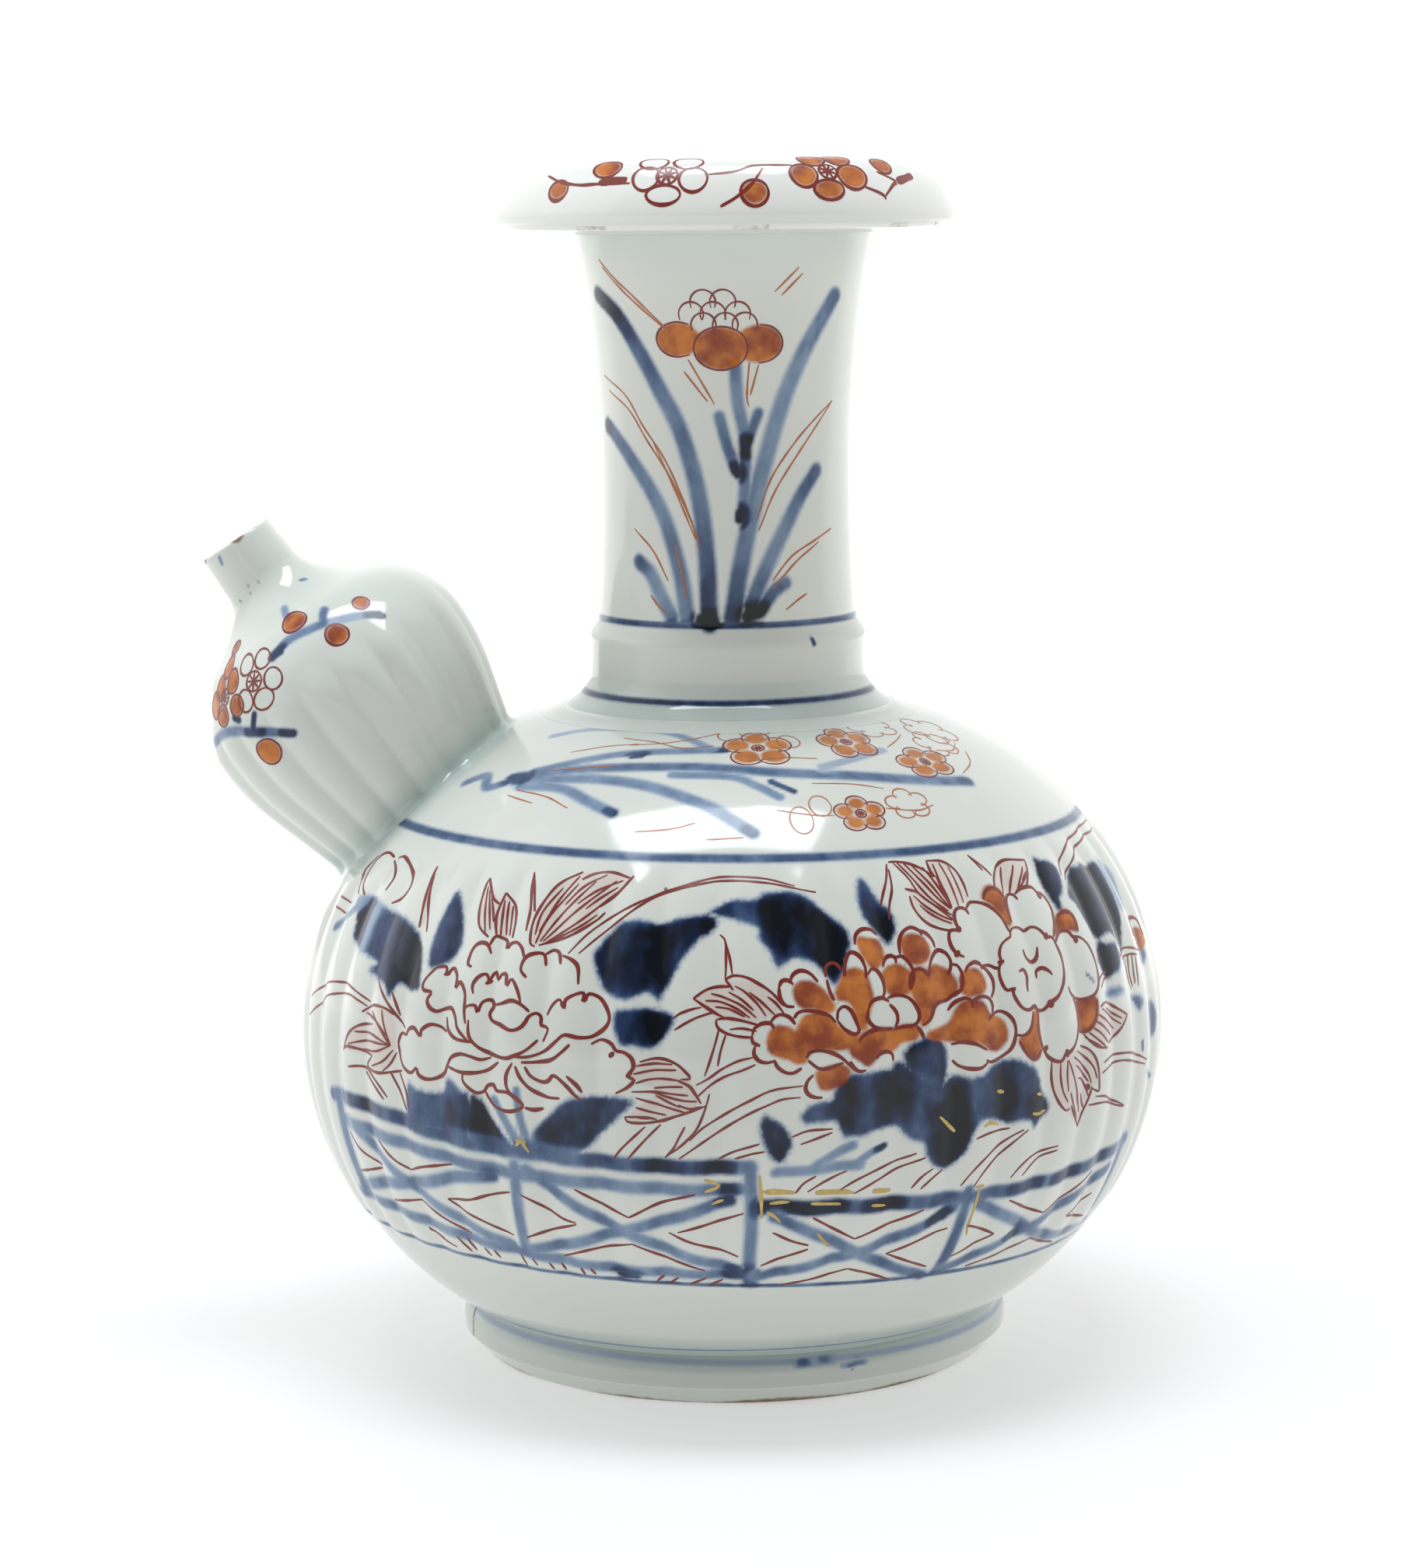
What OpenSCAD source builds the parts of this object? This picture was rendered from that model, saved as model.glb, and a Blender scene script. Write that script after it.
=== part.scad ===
// Kendi: a porcelain drinking vessel with a ribbed body, a grip-shaped neck, a drooping mouth
// flange and a ribbed, breast-shaped spout. The seven thrown or moulded pieces are joined by rings
// of slip and fired into one pot. Millimetres, +Z up, origin at the centre of the foot's rest face,
// spout towards -X.

/* [Body] */
// Width of the body across the valleys between its ribs
body_d = 148.6; // [140:0.2:156]
// Radius of the body's side, seen in section
side_r = 55.4; // [51:0.2:58]
// Height of the widest ring above the table
belly_z = 57; // [54:0.5:60]
// Thickness of the body wall
body_wall = 5; // [4:0.25:7]
// Thickness of the floor
floor_t = 6; // [4:0.25:9]
// Thickness of the slip in every joint
lute_t = 0.8; // [0.5:0.1:1.5]

/* [Body ribs] */
// Number of ribs round the body
body_ribs = 48; // [36:1:56]
// Height of a body rib
body_rib_h = 0.5; // [0.2:0.05:1]
// Height above the table where the ribs begin
rib_low_z = 24.5; // [18:0.5:32]
// Height above the table where the ribs end, under the shoulder
rib_high_z = 94; // [84:0.5:98]
// Length over which a rib fades at its ends
rib_fade = 5; // [2:0.5:10]

/* [Foot] */
// Width of the hollow inside the foot ring, at the table
foot_hollow_d = 80; // [70:0.5:90]
// Thickness of the foot ring from the hollow out to its widest line
foot_wall = 7.6; // [5.5:0.1:9]
// Height of the foot ring
foot_h = 8.8; // [6:0.2:12]
// Radius of the bulging side of the foot ring
foot_bulge_r = 8; // [7:0.1:12]
// Height of the widest line of the foot ring
foot_bulge_z = 4.6; // [4:0.2:6.6]
// How far the side is bevelled in at the table
foot_bevel = 3.5; // [1:0.25:4]
// How far the hollow narrows towards the floor, on each side
foot_draft = 1.5; // [0:0.25:3]

/* [Neck] */
// Bore of the neck and mouth
bore_d = 33; // [28:0.5:36]
// Height of the neck between its two joints
neck_h = 80.2; // [60:0.2:95]
// Width of the neck's flared base
neck_base_d = 57.4; // [54:0.2:60]
// Width of the collar above the flare
collar_d = 47.8; // [46:0.2:52]
// Height of the top of the collar above the neck's base
collar_h = 12.6; // [10:0.2:18]
// Height of the flare under the collar
flare_h = 6.2; // [4:0.2:9]
// Height of the slope from the collar to the waist
collar_step = 2; // [1:0.2:4]
// Width of the waist, which is the grip
waist_d = 43.2; // [42:0.2:45]
// Height of the waist above the neck's base
waist_h = 38; // [28:0.5:44]
// Radius of the grip's side under the waist, seen in section
waist_low_r = 330; // [250:10:500]
// Width of the neck where the mouth flange sits
neck_top_d = 51.2; // [48:0.2:56]

/* [Mouth flange] */
// Width of the mouth flange
flange_d = 78.4; // [70:0.2:86]
// Height of the mouth flange
flange_h = 11.6; // [9:0.2:16]
// Width of the flat top of the flange
flange_flat_d = 63; // [56:0.5:66]
// Height of the upright edge of the flange
flange_edge_h = 2.6; // [2:0.1:4]
// Rounding under the edge of the flange
flange_round = 1.2; // [0.6:0.1:1.8]
// Rounding of the mouth's lip
lip_round = 2.5; // [1:0.25:4]

/* [Spout] */
// Angle of the spout above the table
spout_angle = 55; // [50:0.5:57]
// Angle up the body's side at which the spout's axis meets the shoulder
spout_seat = 49.2; // [47:0.2:52]
// Width of the spout bulb across the valleys between its ribs
bulb_d = 49.5; // [44:0.1:52]
// Height of the bulb's widest ring above the shoulder
bulb_wide_h = 20.6; // [17:0.2:23]
// Radius of the bulb's side under its widest ring, seen in section
bulb_low_r = 42; // [38:0.5:50]
// Angle at which the bulb narrows in a straight line towards the shoulder
bulb_taper = 16.7; // [10:0.1:19]
// Radius of the bulb's crown, seen in section
bulb_top_r = 16.5; // [15:0.1:19]
// Thickness of the bulb wall
bulb_wall = 4.2; // [3:0.2:5]
// Number of ribs round the bulb
bulb_ribs = 21; // [18:1:30]
// Height of a bulb rib
bulb_rib_h = 0.5; // [0.2:0.05:1]
// Width of the hole through the shoulder under the spout
spout_hole_d = 20; // [14:0.5:24]
// How far the slip shows round the foot of the bulb
spout_fillet = 1.4; // [0.6:0.1:3]

/* [Nozzle] */
// Width of the nozzle's flared base, where it sits on the bulb's crown
nozzle_base_d = 28.4; // [25:0.2:32]
// Height of the nozzle above its joint
nozzle_h = 14.4; // [12:0.2:20]
// Height of the nozzle's flared base
nozzle_flare_h = 7.6; // [6:0.2:10]
// Width of the nozzle above its flare
nozzle_d = 14; // [12:0.2:17]
// Width of the nozzle at its tip
nozzle_tip_d = 13.7; // [12:0.1:15]
// Bore of the nozzle
nozzle_bore_d = 6.4; // [5:0.1:8]

/* [Hidden] */
$fn = 96;

// Clearances: holes in moulded walls are wider than the bore that runs through them.
hole_clear = 1;
// Cuts run past the faces that they open.
cut_past = 1;

// The body's side is an arc whose centre runs on a circle of this radius round the pot's axis.
ring_r = body_d / 2 - side_r;

// The foot ring stands round its hollow.
foot_d = foot_hollow_d + 2 * foot_wall;

// Joint heights, from the table up.
base_z = foot_h + lute_t;
neck_seat_z = belly_z + sqrt(side_r ^ 2 - (neck_base_d / 2 - ring_r) ^ 2);
neck_z = neck_seat_z + lute_t;
flange_z = neck_z + neck_h + lute_t;

// The grip opens along one arc from the waist up to the seat of the flange.
waist_rise = (neck_top_d - waist_d) / 2;
waist_arc_r = ((neck_h - waist_h) ^ 2 + waist_rise ^ 2) / (2 * waist_rise);
flare_run = (neck_base_d - collar_d) / 2;
flare_arc_r = (flare_h ^ 2 + flare_run ^ 2) / (2 * flare_run);

// The spout leans off square to the shoulder, so its axis passes beside the centre of the side arc.
spout_lean = spout_angle - spout_seat;
spout_offset = side_r * sin(spout_lean);
spout_foot = side_r * cos(spout_lean);

// Joint heights along the spout's axis, from the point that is nearest to that centre.
bulb_top_angle = acos((nozzle_base_d / 2 - bulb_d / 2 + bulb_top_r) / bulb_top_r);
bulb_end = bulb_section(bulb_top_r, bulb_top_angle)[1];
nozzle_seat = bulb_end + lute_t;
nozzle_hole_r = nozzle_bore_d / 2 + hole_clear;
// The bulb's wall starts below the shoulder, far enough for the shoulder to cut it all round.
bulb_start = sqrt(side_r ^ 2 - (bulb_d / 2 + spout_offset) ^ 2) - cut_past;
bulb_foot_r = bulb_cone(spout_foot)[0] + bulb_rib_h;

// Facets: steps across one rib, and rows up each moulded wall.
rib_steps = 4;
lower_rows = 8;
upper_rows = 11;
bulb_low_rows = 3;
bulb_rows = 5;
curve_steps = 10;
// Facets of the two large circles that shape the grip.
grip_facets = 960;
// Powers that bow the falling side of the mouth flange, its shoulder, and the nozzle's flare.
flange_fall_bow = 1.3;
flange_crown_bow = 2.2;
nozzle_flare_bow = 2.3;

glaze = [0.88, 0.90, 0.88];
slip = [0.80, 0.83, 0.80];

// A smooth step from 0 at x = from to 1 at x = to.
function fade(x, from, to) =
  let (t = max(0, min(1, (x - from) / (to - from)))) t * t * (3 - 2 * t);

// Even steps from one value to another.
function steps(from, to, count) = [for (i = [0:count]) from + (to - from) * i / count];

// A convex rib between two narrow valleys, as a share of its height, at an angle round the axis.
function rib_wave(angle, ribs) = abs(sin(angle * ribs / 2));

// Angle on the body's side arc, of the given radius, at a height above the table.
function side_angle(z, radius) = asin((z - belly_z) / radius);

// Point of the body's section, as [radius, height], at an angle up the side arc.
function side_section(radius, angle) = [ring_r + radius * cos(angle), belly_z + radius * sin(angle)];

// Distance of a point from the spout's axis.
function spout_distance(p) =
  let (beside = spout_offset * [sin(spout_angle), 0, cos(spout_angle)])
    norm(cross(p - [-ring_r, 0, belly_z] + beside, [-cos(spout_angle), 0, sin(spout_angle)]));

// Height of the body's ribs at a point: they fade at both ends and under the foot of the spout.
function body_rib(p, angle) =
  body_rib_h * rib_wave(angle, body_ribs)
  * fade(p[2], rib_low_z, rib_low_z + rib_fade)
  * fade(rib_high_z - p[2], 0, rib_fade)
  * fade(spout_distance(p), bulb_foot_r + spout_fillet, bulb_foot_r + spout_fillet + rib_fade);

// Point at a distance from an axis and an angle round it.
function turned(radius, angle, z) = [radius * cos(angle), radius * sin(angle), z];

// A ring of points round the axis for one [radius, height] of a section.
function plain_ring(section, count) =
  [for (i = [0:count - 1]) turned(section[0], 360 * i / count, section[1])];

// The same, with the body's ribs standing out of it.
function body_ring(section) =
  [for (i = [0:body_ribs * rib_steps - 1])
    let (angle = 360 * i / (body_ribs * rib_steps), p = turned(section[0], angle, section[1]))
      turned(section[0] + body_rib(p, angle), angle, section[1])];

// Point of the bulb's section, as [radius, distance along the spout], at an angle up its arc.
function bulb_section(radius, angle, wall = 0) = [
  bulb_d / 2 - radius + (radius - wall) * cos(angle),
  spout_foot + bulb_wide_h + (radius - wall) * sin(angle)
];

// Point of the straight lower part of the bulb's section, some way along the spout.
function bulb_cone(along) =
  let (p = bulb_section(bulb_low_r, -bulb_taper)) [p[0] - (p[1] - along) * tan(bulb_taper), along];

// A ring of the bulb, whose ribs run from its foot to the crown and fade on the crown.
function bulb_ring(section) =
  [for (i = [0:bulb_ribs * rib_steps - 1])
    let (angle = 360 * i / (bulb_ribs * rib_steps))
      turned(
        section[0] + bulb_rib_h * rib_wave(angle, bulb_ribs)
          * fade(bulb_end - section[1], rib_fade, 3 * rib_fade),
        angle, section[1])];

// Triangles of a skin between rings of equal count, the first point of which is number start.
function skin(start, rows, count) =
  [for (row = [0:rows - 2], i = [0:count - 1])
    let (
      a = start + row * count + i,
      b = start + row * count + (i + 1) % count
    )
      each [[a, a + count, b], [b, a + count, b + count]]];

// Triangles of a flat rim between a fine outer ring and an inner ring of one point per rib.
function rim(outer, inner, ribs) =
  [for (rib = [0:ribs - 1], k = [0:rib_steps])
    let (
      fine = function (i) outer + (rib * rib_steps + i) % (ribs * rib_steps),
      near = inner + rib,
      far = inner + (rib + 1) % ribs,
      half = floor(rib_steps / 2)
    )
      k < half ? [fine(k), fine(k + 1), near]
      : k == half ? [fine(half), far, near]
      : [fine(k - 1), fine(k), far]];

function flipped(faces) = [for (f = faces) [f[2], f[1], f[0]]];
function disc(start, count) = [for (i = [0:count - 1]) start + i];
function backwards(face) = [for (i = [len(face) - 1:-1:0]) face[i]];

// A moulded wall: a ribbed outer skin and a plain inner skin, joined by a rim at the top, and at
// the bottom either by a rim or, with a floor, closed by a disc on each skin.
module moulded_wall(outer, inner, ribs, with_floor) {
  fine = ribs * rib_steps;
  inner_at = len(outer) * fine;
  outer_top = (len(outer) - 1) * fine;
  inner_top = inner_at + (len(inner) - 1) * ribs;
  polyhedron(
    points = [each [for (r = outer) each r], each [for (r = inner) each r]],
    faces = [
      each skin(0, len(outer), fine),
      each flipped(skin(inner_at, len(inner), ribs)),
      each flipped(rim(outer_top, inner_top, ribs)),
      each with_floor ? [disc(0, fine), backwards(disc(inner_at, ribs))] : rim(0, inner_at, ribs)
    ]
  );
}

// A flat ring of slip between two seats.
module slip_ring(inner_r, outer_r, z) {
  color(slip) translate([0, 0, z]) difference() {
    cylinder(r = outer_r, h = lute_t);
    translate([0, 0, -cut_past]) cylinder(r = inner_r, h = lute_t + 2 * cut_past);
  }
}

// The body without its ribs, grown by a given thickness.
module body_envelope(grow) {
  rotate_extrude() intersection() {
    translate([ring_r, belly_z]) circle(r = side_r + grow);
    translate([0, base_z]) square([body_d, neck_seat_z + grow - base_z]);
  }
}

// Places the spout's pieces: their own +Z runs up the spout.
module on_spout() {
  translate([-ring_r, 0, belly_z]) rotate([0, spout_angle - 90, 0])
    translate([-spout_offset, 0, 0]) children();
}

// Turned foot ring with a bulging side, bevelled at the table, and a hollow underneath.
module foot_ring() {
  color(glaze) rotate_extrude() difference() {
    union() {
      square([foot_d / 2 - foot_bulge_r, foot_h]);
      intersection() {
        translate([foot_d / 2 - foot_bulge_r, foot_bulge_z]) circle(r = foot_bulge_r);
        polygon([
          [0, 0], [foot_d / 2 - foot_bevel, 0], [foot_d / 2, foot_bulge_z], [foot_d / 2, foot_h],
          [0, foot_h]
        ]);
      }
    }
    polygon([
      [0, -cut_past], [foot_hollow_d / 2, -cut_past], [foot_hollow_d / 2, 0],
      [foot_hollow_d / 2 - foot_draft, foot_h + cut_past], [0, foot_h + cut_past]
    ]);
  }
}

module foot_lute() {
  slip_ring(foot_hollow_d / 2 - foot_draft, foot_d / 2 - lute_t, foot_h);
}

// Lower half of the body, pressed in a ribbed mould, with the pot's floor.
module lower_body() {
  inner_r = side_r - body_wall;
  top_z = belly_z - lute_t / 2;
  outer_angles = steps(side_angle(base_z, side_r), side_angle(top_z, side_r), lower_rows);
  inner_angles = steps(side_angle(base_z + floor_t, inner_r), side_angle(top_z, inner_r), lower_rows);
  color(glaze) moulded_wall(
    outer = [for (a = outer_angles) body_ring(side_section(side_r, a))],
    inner = [for (a = inner_angles) plain_ring(side_section(inner_r, a), body_ribs)],
    ribs = body_ribs, with_floor = true
  );
}

module belly_lute() {
  slip_ring(
    side_section(side_r - body_wall, 0)[0], side_section(side_r, 0)[0], belly_z - lute_t / 2
  );
}

// Upper half of the body, from the same mould, with the hole for the neck and one for the spout.
module upper_body() {
  inner_r = side_r - body_wall;
  bottom_z = belly_z + lute_t / 2;
  hole_r = bore_d / 2 + hole_clear;
  outer_angles = steps(side_angle(bottom_z, side_r), side_angle(neck_seat_z, side_r), upper_rows);
  inner_angles = steps(side_angle(bottom_z, inner_r), acos((hole_r - ring_r) / inner_r), lower_rows);
  inner_sections = [for (a = inner_angles) side_section(inner_r, a), [hole_r, neck_seat_z]];
  color(glaze) difference() {
    moulded_wall(
      outer = [for (a = outer_angles) body_ring(side_section(side_r, a))],
      inner = [for (s = inner_sections) plain_ring(s, body_ribs)],
      ribs = body_ribs, with_floor = false
    );
    on_spout() translate([0, 0, inner_r - body_wall])
      cylinder(d = spout_hole_d, h = 2 * body_wall + bulb_d);
  }
}

module neck_lute() {
  slip_ring(bore_d / 2 + hole_clear, neck_base_d / 2, neck_seat_z);
}

// Thrown neck: a flared base, a collar, and the waisted grip that opens towards the mouth.
module neck() {
  color(glaze) translate([0, 0, neck_z]) rotate_extrude() difference() {
    union() {
      difference() {
        square([neck_base_d / 2, flare_h]);
        translate([collar_d / 2 + flare_arc_r, flare_h]) circle(r = flare_arc_r);
      }
      square([collar_d / 2, collar_h]);
      polygon([
        [0, collar_h], [collar_d / 2, collar_h], [waist_d / 2, collar_h + collar_step],
        [0, collar_h + collar_step]
      ]);
      difference() {
        translate([0, collar_h]) square([neck_base_d / 2, waist_h - collar_h]);
        translate([waist_d / 2 + waist_low_r, waist_h]) circle(r = waist_low_r, $fn = grip_facets);
      }
      difference() {
        translate([0, waist_h]) square([neck_base_d / 2, neck_h - waist_h]);
        translate([waist_d / 2 + waist_arc_r, waist_h]) circle(r = waist_arc_r, $fn = grip_facets);
      }
    }
    translate([0, -cut_past]) square([bore_d / 2, neck_h + 2 * cut_past]);
  }
}

module rim_lute() {
  slip_ring(bore_d / 2, neck_top_d / 2, flange_z - lute_t);
}

// Thrown mouth flange: flat underside, rounded edge, a falling side, a flat top and a round lip.
module mouth_flange() {
  edge_r = flange_d / 2;
  fall = edge_r - flange_flat_d / 2;
  edge = [for (a = steps(-90, 0, curve_steps))
    [edge_r - flange_round * (1 - cos(a)), flange_round * (1 + sin(a))]];
  side = [for (t = steps(0, 1, curve_steps))
    [
      edge_r - fall * t ^ flange_fall_bow,
      flange_edge_h + (flange_h - flange_edge_h) * (1 - (1 - t) ^ flange_crown_bow)
    ]];
  color(glaze) translate([0, 0, flange_z]) rotate_extrude() difference() {
    polygon([[0, 0], each edge, each side, [0, flange_h]]);
    translate([0, -cut_past]) square([bore_d / 2, flange_h + 2 * cut_past]);
    difference() {
      translate([0, flange_h - lip_round]) square([bore_d / 2 + lip_round, lip_round + cut_past]);
      translate([bore_d / 2 + lip_round, flange_h - lip_round]) circle(r = lip_round);
    }
  }
}

// Slip under the foot of the spout, shaped to the shoulder.
module spout_lute() {
  color(slip) difference() {
    intersection() {
      body_envelope(lute_t);
      on_spout() cylinder(r = bulb_foot_r + spout_fillet, h = bulb_end);
    }
    body_envelope(0);
    on_spout() cylinder(d = spout_hole_d, h = bulb_end);
  }
}

// Ribbed, breast-shaped bulb, hollow, cut to sit on the shoulder.
module spout_bulb() {
  low_angles = steps(-bulb_taper, 0, bulb_low_rows);
  top_angles = steps(0, bulb_top_angle, bulb_rows + 1);
  inner_top = acos((bulb_top_r - bulb_d / 2 + nozzle_hole_r) / (bulb_top_r - bulb_wall));
  inner_angles = steps(0, min(inner_top, 90), bulb_rows + 1);
  outer = [
    bulb_cone(bulb_start),
    for (a = low_angles) bulb_section(bulb_low_r, a),
    for (a = [for (i = [1:len(top_angles) - 1]) top_angles[i]]) bulb_section(bulb_top_r, a)
  ];
  inner = [
    bulb_cone(bulb_start) - [bulb_wall, 0],
    for (a = low_angles) bulb_section(bulb_low_r, a) - [bulb_wall, 0],
    for (a = [for (i = [1:len(inner_angles) - 1]) inner_angles[i]])
      bulb_section(bulb_top_r, a, bulb_wall),
    [nozzle_hole_r, bulb_end]
  ];
  color(glaze) difference() {
    on_spout() moulded_wall(
      outer = [for (s = outer) bulb_ring(s)],
      inner = [for (s = inner) plain_ring(s, bulb_ribs)],
      ribs = bulb_ribs, with_floor = false
    );
    body_envelope(lute_t);
  }
}

module nozzle_lute() {
  on_spout() slip_ring(nozzle_hole_r, nozzle_base_d / 2, bulb_end);
}

// Thrown nozzle: a flared base that runs up into a slim, slightly tapered tube.
module spout_nozzle() {
  flare = [for (t = steps(0, 1, curve_steps))
    [nozzle_d / 2 + (nozzle_base_d - nozzle_d) / 2 * (1 - t) ^ nozzle_flare_bow, nozzle_flare_h * t]];
  color(glaze) on_spout() translate([0, 0, nozzle_seat]) rotate_extrude() difference() {
    polygon([[0, 0], each flare, [nozzle_tip_d / 2, nozzle_h], [0, nozzle_h]]);
    translate([0, -cut_past]) square([nozzle_bore_d / 2, nozzle_h + 2 * cut_past]);
  }
}

foot_ring();
foot_lute();
lower_body();
belly_lute();
upper_body();
neck_lute();
neck();
rim_lute();
mouth_flange();
spout_lute();
spout_bulb();
nozzle_lute();
spout_nozzle();
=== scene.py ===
import bpy
import numpy as np
from mathutils import Matrix, Vector


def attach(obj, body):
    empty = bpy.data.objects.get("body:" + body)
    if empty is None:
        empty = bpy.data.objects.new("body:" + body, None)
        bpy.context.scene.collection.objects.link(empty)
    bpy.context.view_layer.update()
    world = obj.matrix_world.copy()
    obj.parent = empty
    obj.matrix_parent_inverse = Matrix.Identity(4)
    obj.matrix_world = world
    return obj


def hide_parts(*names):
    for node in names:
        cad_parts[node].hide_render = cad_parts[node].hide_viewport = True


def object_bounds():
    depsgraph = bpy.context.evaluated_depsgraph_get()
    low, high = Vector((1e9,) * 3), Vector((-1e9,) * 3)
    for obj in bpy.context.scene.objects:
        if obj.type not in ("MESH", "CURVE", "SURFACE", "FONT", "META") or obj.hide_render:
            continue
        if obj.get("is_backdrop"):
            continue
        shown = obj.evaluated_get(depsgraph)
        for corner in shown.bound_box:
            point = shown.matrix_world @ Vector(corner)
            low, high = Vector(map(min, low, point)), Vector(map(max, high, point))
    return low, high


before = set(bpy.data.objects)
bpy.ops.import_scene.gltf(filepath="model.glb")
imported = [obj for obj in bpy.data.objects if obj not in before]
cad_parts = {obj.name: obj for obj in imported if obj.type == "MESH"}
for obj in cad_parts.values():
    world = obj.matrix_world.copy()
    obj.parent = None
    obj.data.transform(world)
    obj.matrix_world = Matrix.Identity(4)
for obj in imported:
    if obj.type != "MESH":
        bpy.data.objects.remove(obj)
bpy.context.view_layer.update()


# Foot ring: turned on the wheel, with a bulging side and a hollow underneath. It is glazed down to
# its edge, which is bare porcelain, fired brown where it stood on the kiln shelf.
def trace(corners, step):
    """Points along straight lines between corners, at most one step apart."""
    runs = []
    for start, end in zip(corners[:-1], corners[1:]):
        count = max(1, int(np.ceil(np.hypot(end[0] - start[0], end[1] - start[1]) / step)))
        runs.append(np.linspace(start, end, count, endpoint=False))
    return np.vstack(runs + [np.array(corners[-1:], float)])


def turned(section, columns):
    """Rings of a turned piece: x = r sin(a), y = -r cos(a) for each radius r and height z of the
    section, where a runs once round the pot's axis from the side that faces the viewer."""
    r, z = np.transpose(section)
    a = np.radians(np.arange(columns) * 360.0 / columns)
    height = np.repeat(z[:, None], columns, 1)
    return np.stack([np.outer(r, np.sin(a)), -np.outer(r, np.cos(a)), height], -1)


def skin(rings, capped, start=0):
    """Faces between rings of points: each ring joins the next one, and each point its neighbour. The
    last ring joins the first, or both end rings are closed with a flat face."""
    rows, columns = rings.shape[:2]
    index = start + np.arange(rows * columns).reshape(rows, columns)
    below = index[:-1] if capped else index
    above = index[1:] if capped else np.roll(index, -1, 0)
    quads = np.stack([below, np.roll(below, -1, 1), np.roll(above, -1, 1), above], -1)
    ends = [index[0][::-1].tolist(), index[-1].tolist()] if capped else []
    return quads.reshape(-1, 4).tolist() + ends


def piece(name, grids, material, capped=False):
    """One piece of the pot, from grids of points in mm, which rides on the pot."""
    faces = []
    start = 0
    for rings in grids:
        faces += skin(rings, capped, start)
        start += rings.shape[0] * rings.shape[1]
    points = np.vstack([rings.reshape(-1, 3) for rings in grids]) * 0.001
    mesh = bpy.data.meshes.new(name)
    mesh.from_pydata(points.tolist(), [], faces)
    mesh.polygons.foreach_set("use_smooth", np.ones(len(mesh.polygons), bool))
    mesh.set_sharp_from_angle(angle=0.5)
    mesh.materials.append(material)
    made = bpy.data.objects.new(name, mesh)
    bpy.context.scene.collection.objects.link(made)
    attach(made, "root")
    return made


def points_of(made):
    """The piece's points in mm, one row each."""
    flat = np.empty(len(made.data.vertices) * 3, np.float32)
    made.data.vertices.foreach_get("co", flat)
    return flat.reshape(-1, 3).astype(float) * 1000


def azimuth_of(x, y):
    """Degrees round the pot's axis, from the side that faces the viewer."""
    return np.degrees(np.arctan2(x, -y))


def mark(made, name, values):
    """Stores one value per point, or one for the whole piece, for the glaze to read."""
    layer = made.data.attributes.get(name) or made.data.attributes.new(name, "FLOAT", "POINT")
    spread = np.broadcast_to(np.asarray(values, np.float32), len(made.data.vertices))
    layer.data.foreach_set("value", spread.copy())


def ease(x, start, end):
    """A smooth step from 0 at start to 1 at end."""
    t = np.clip((x - start) / (end - start), 0, 1)
    return t * t * (3 - 2 * t)


def plug(tree, socket, value):
    """Feeds a socket with another node's output, or sets its value."""
    if isinstance(value, bpy.types.NodeSocket):
        tree.links.new(value, socket)
    else:
        socket.default_value = value


def add(tree, kind, **inputs):
    """A shader node with its inputs set by name, or by number after a bare underscore."""
    made = tree.nodes.new(kind)
    for name, value in inputs.items():
        plug(tree, made.inputs[int(name[1:]) if name[1:].isdigit() else name.replace("_", " ")], value)
    return made


def sums(tree, operation, first, second):
    """Arithmetic on two values."""
    made = add(tree, "ShaderNodeMath", _0=first, _1=second)
    made.operation = operation
    return made.outputs[0]


def scaled(tree, value, factor, more=0.0):
    """A value times a factor, and some more where that isn't 0."""
    product = sums(tree, "MULTIPLY", value, factor)
    return sums(tree, "ADD", product, more) if more else product


def ramped(tree, value, low, high):
    """A smooth step of a value from 0 at low to 1 at high."""
    made = add(tree, "ShaderNodeMapRange", Value=value, From_Min=low, From_Max=high)
    made.interpolation_type = "SMOOTHSTEP"
    return made.outputs["Result"]


def blended(tree, share, first, second):
    """A mix of two colours."""
    made = tree.nodes.new("ShaderNodeMix")
    made.data_type = "RGBA"
    for number, value in ((0, share), (6, first), (7, second)):
        plug(tree, made.inputs[number], value)
    return made.outputs[2]


def spread_colours(tree, value, stops):
    """Colours for a value, from stops that are a place and a colour, in order."""
    made = add(tree, "ShaderNodeValToRGB", _0=value)
    elements = made.color_ramp.elements
    for element, (at, colour) in zip(list(elements), (stops[0], stops[-1])):
        element.position = at
        element.color = colour
    for at, colour in stops[1:-1]:
        elements.new(at).color = colour
    return made.outputs[0]


def clouds(tree, scale, detail=2.0, stretch=(1, 1, 1)):
    """Noise over the piece's own coordinates."""
    place = tree.nodes.new("ShaderNodeTexCoord")
    spread = add(tree, "ShaderNodeMapping", Vector=place.outputs["Object"], Scale=stretch)
    made = add(tree, "ShaderNodeTexNoise", Vector=spread.outputs[0], Scale=scale, Detail=detail)
    return made.outputs["Fac"]


def stored(tree, name):
    """A value stored at the piece's points."""
    made = tree.nodes.new("ShaderNodeAttribute")
    made.attribute_name = name
    return made.outputs["Fac"]


def empty_material(name):
    """A material with nothing but its output."""
    made = bpy.data.materials.new(name)
    made.use_nodes = True
    made.node_tree.nodes.clear()
    return made, made.node_tree, made.node_tree.nodes.new("ShaderNodeOutputMaterial")


def coat(tree, out, **inputs):
    """Gives a material its surface."""
    surface = add(tree, "ShaderNodeBsdfPrincipled", **inputs)
    tree.links.new(surface.outputs[0], out.inputs[0])


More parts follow.
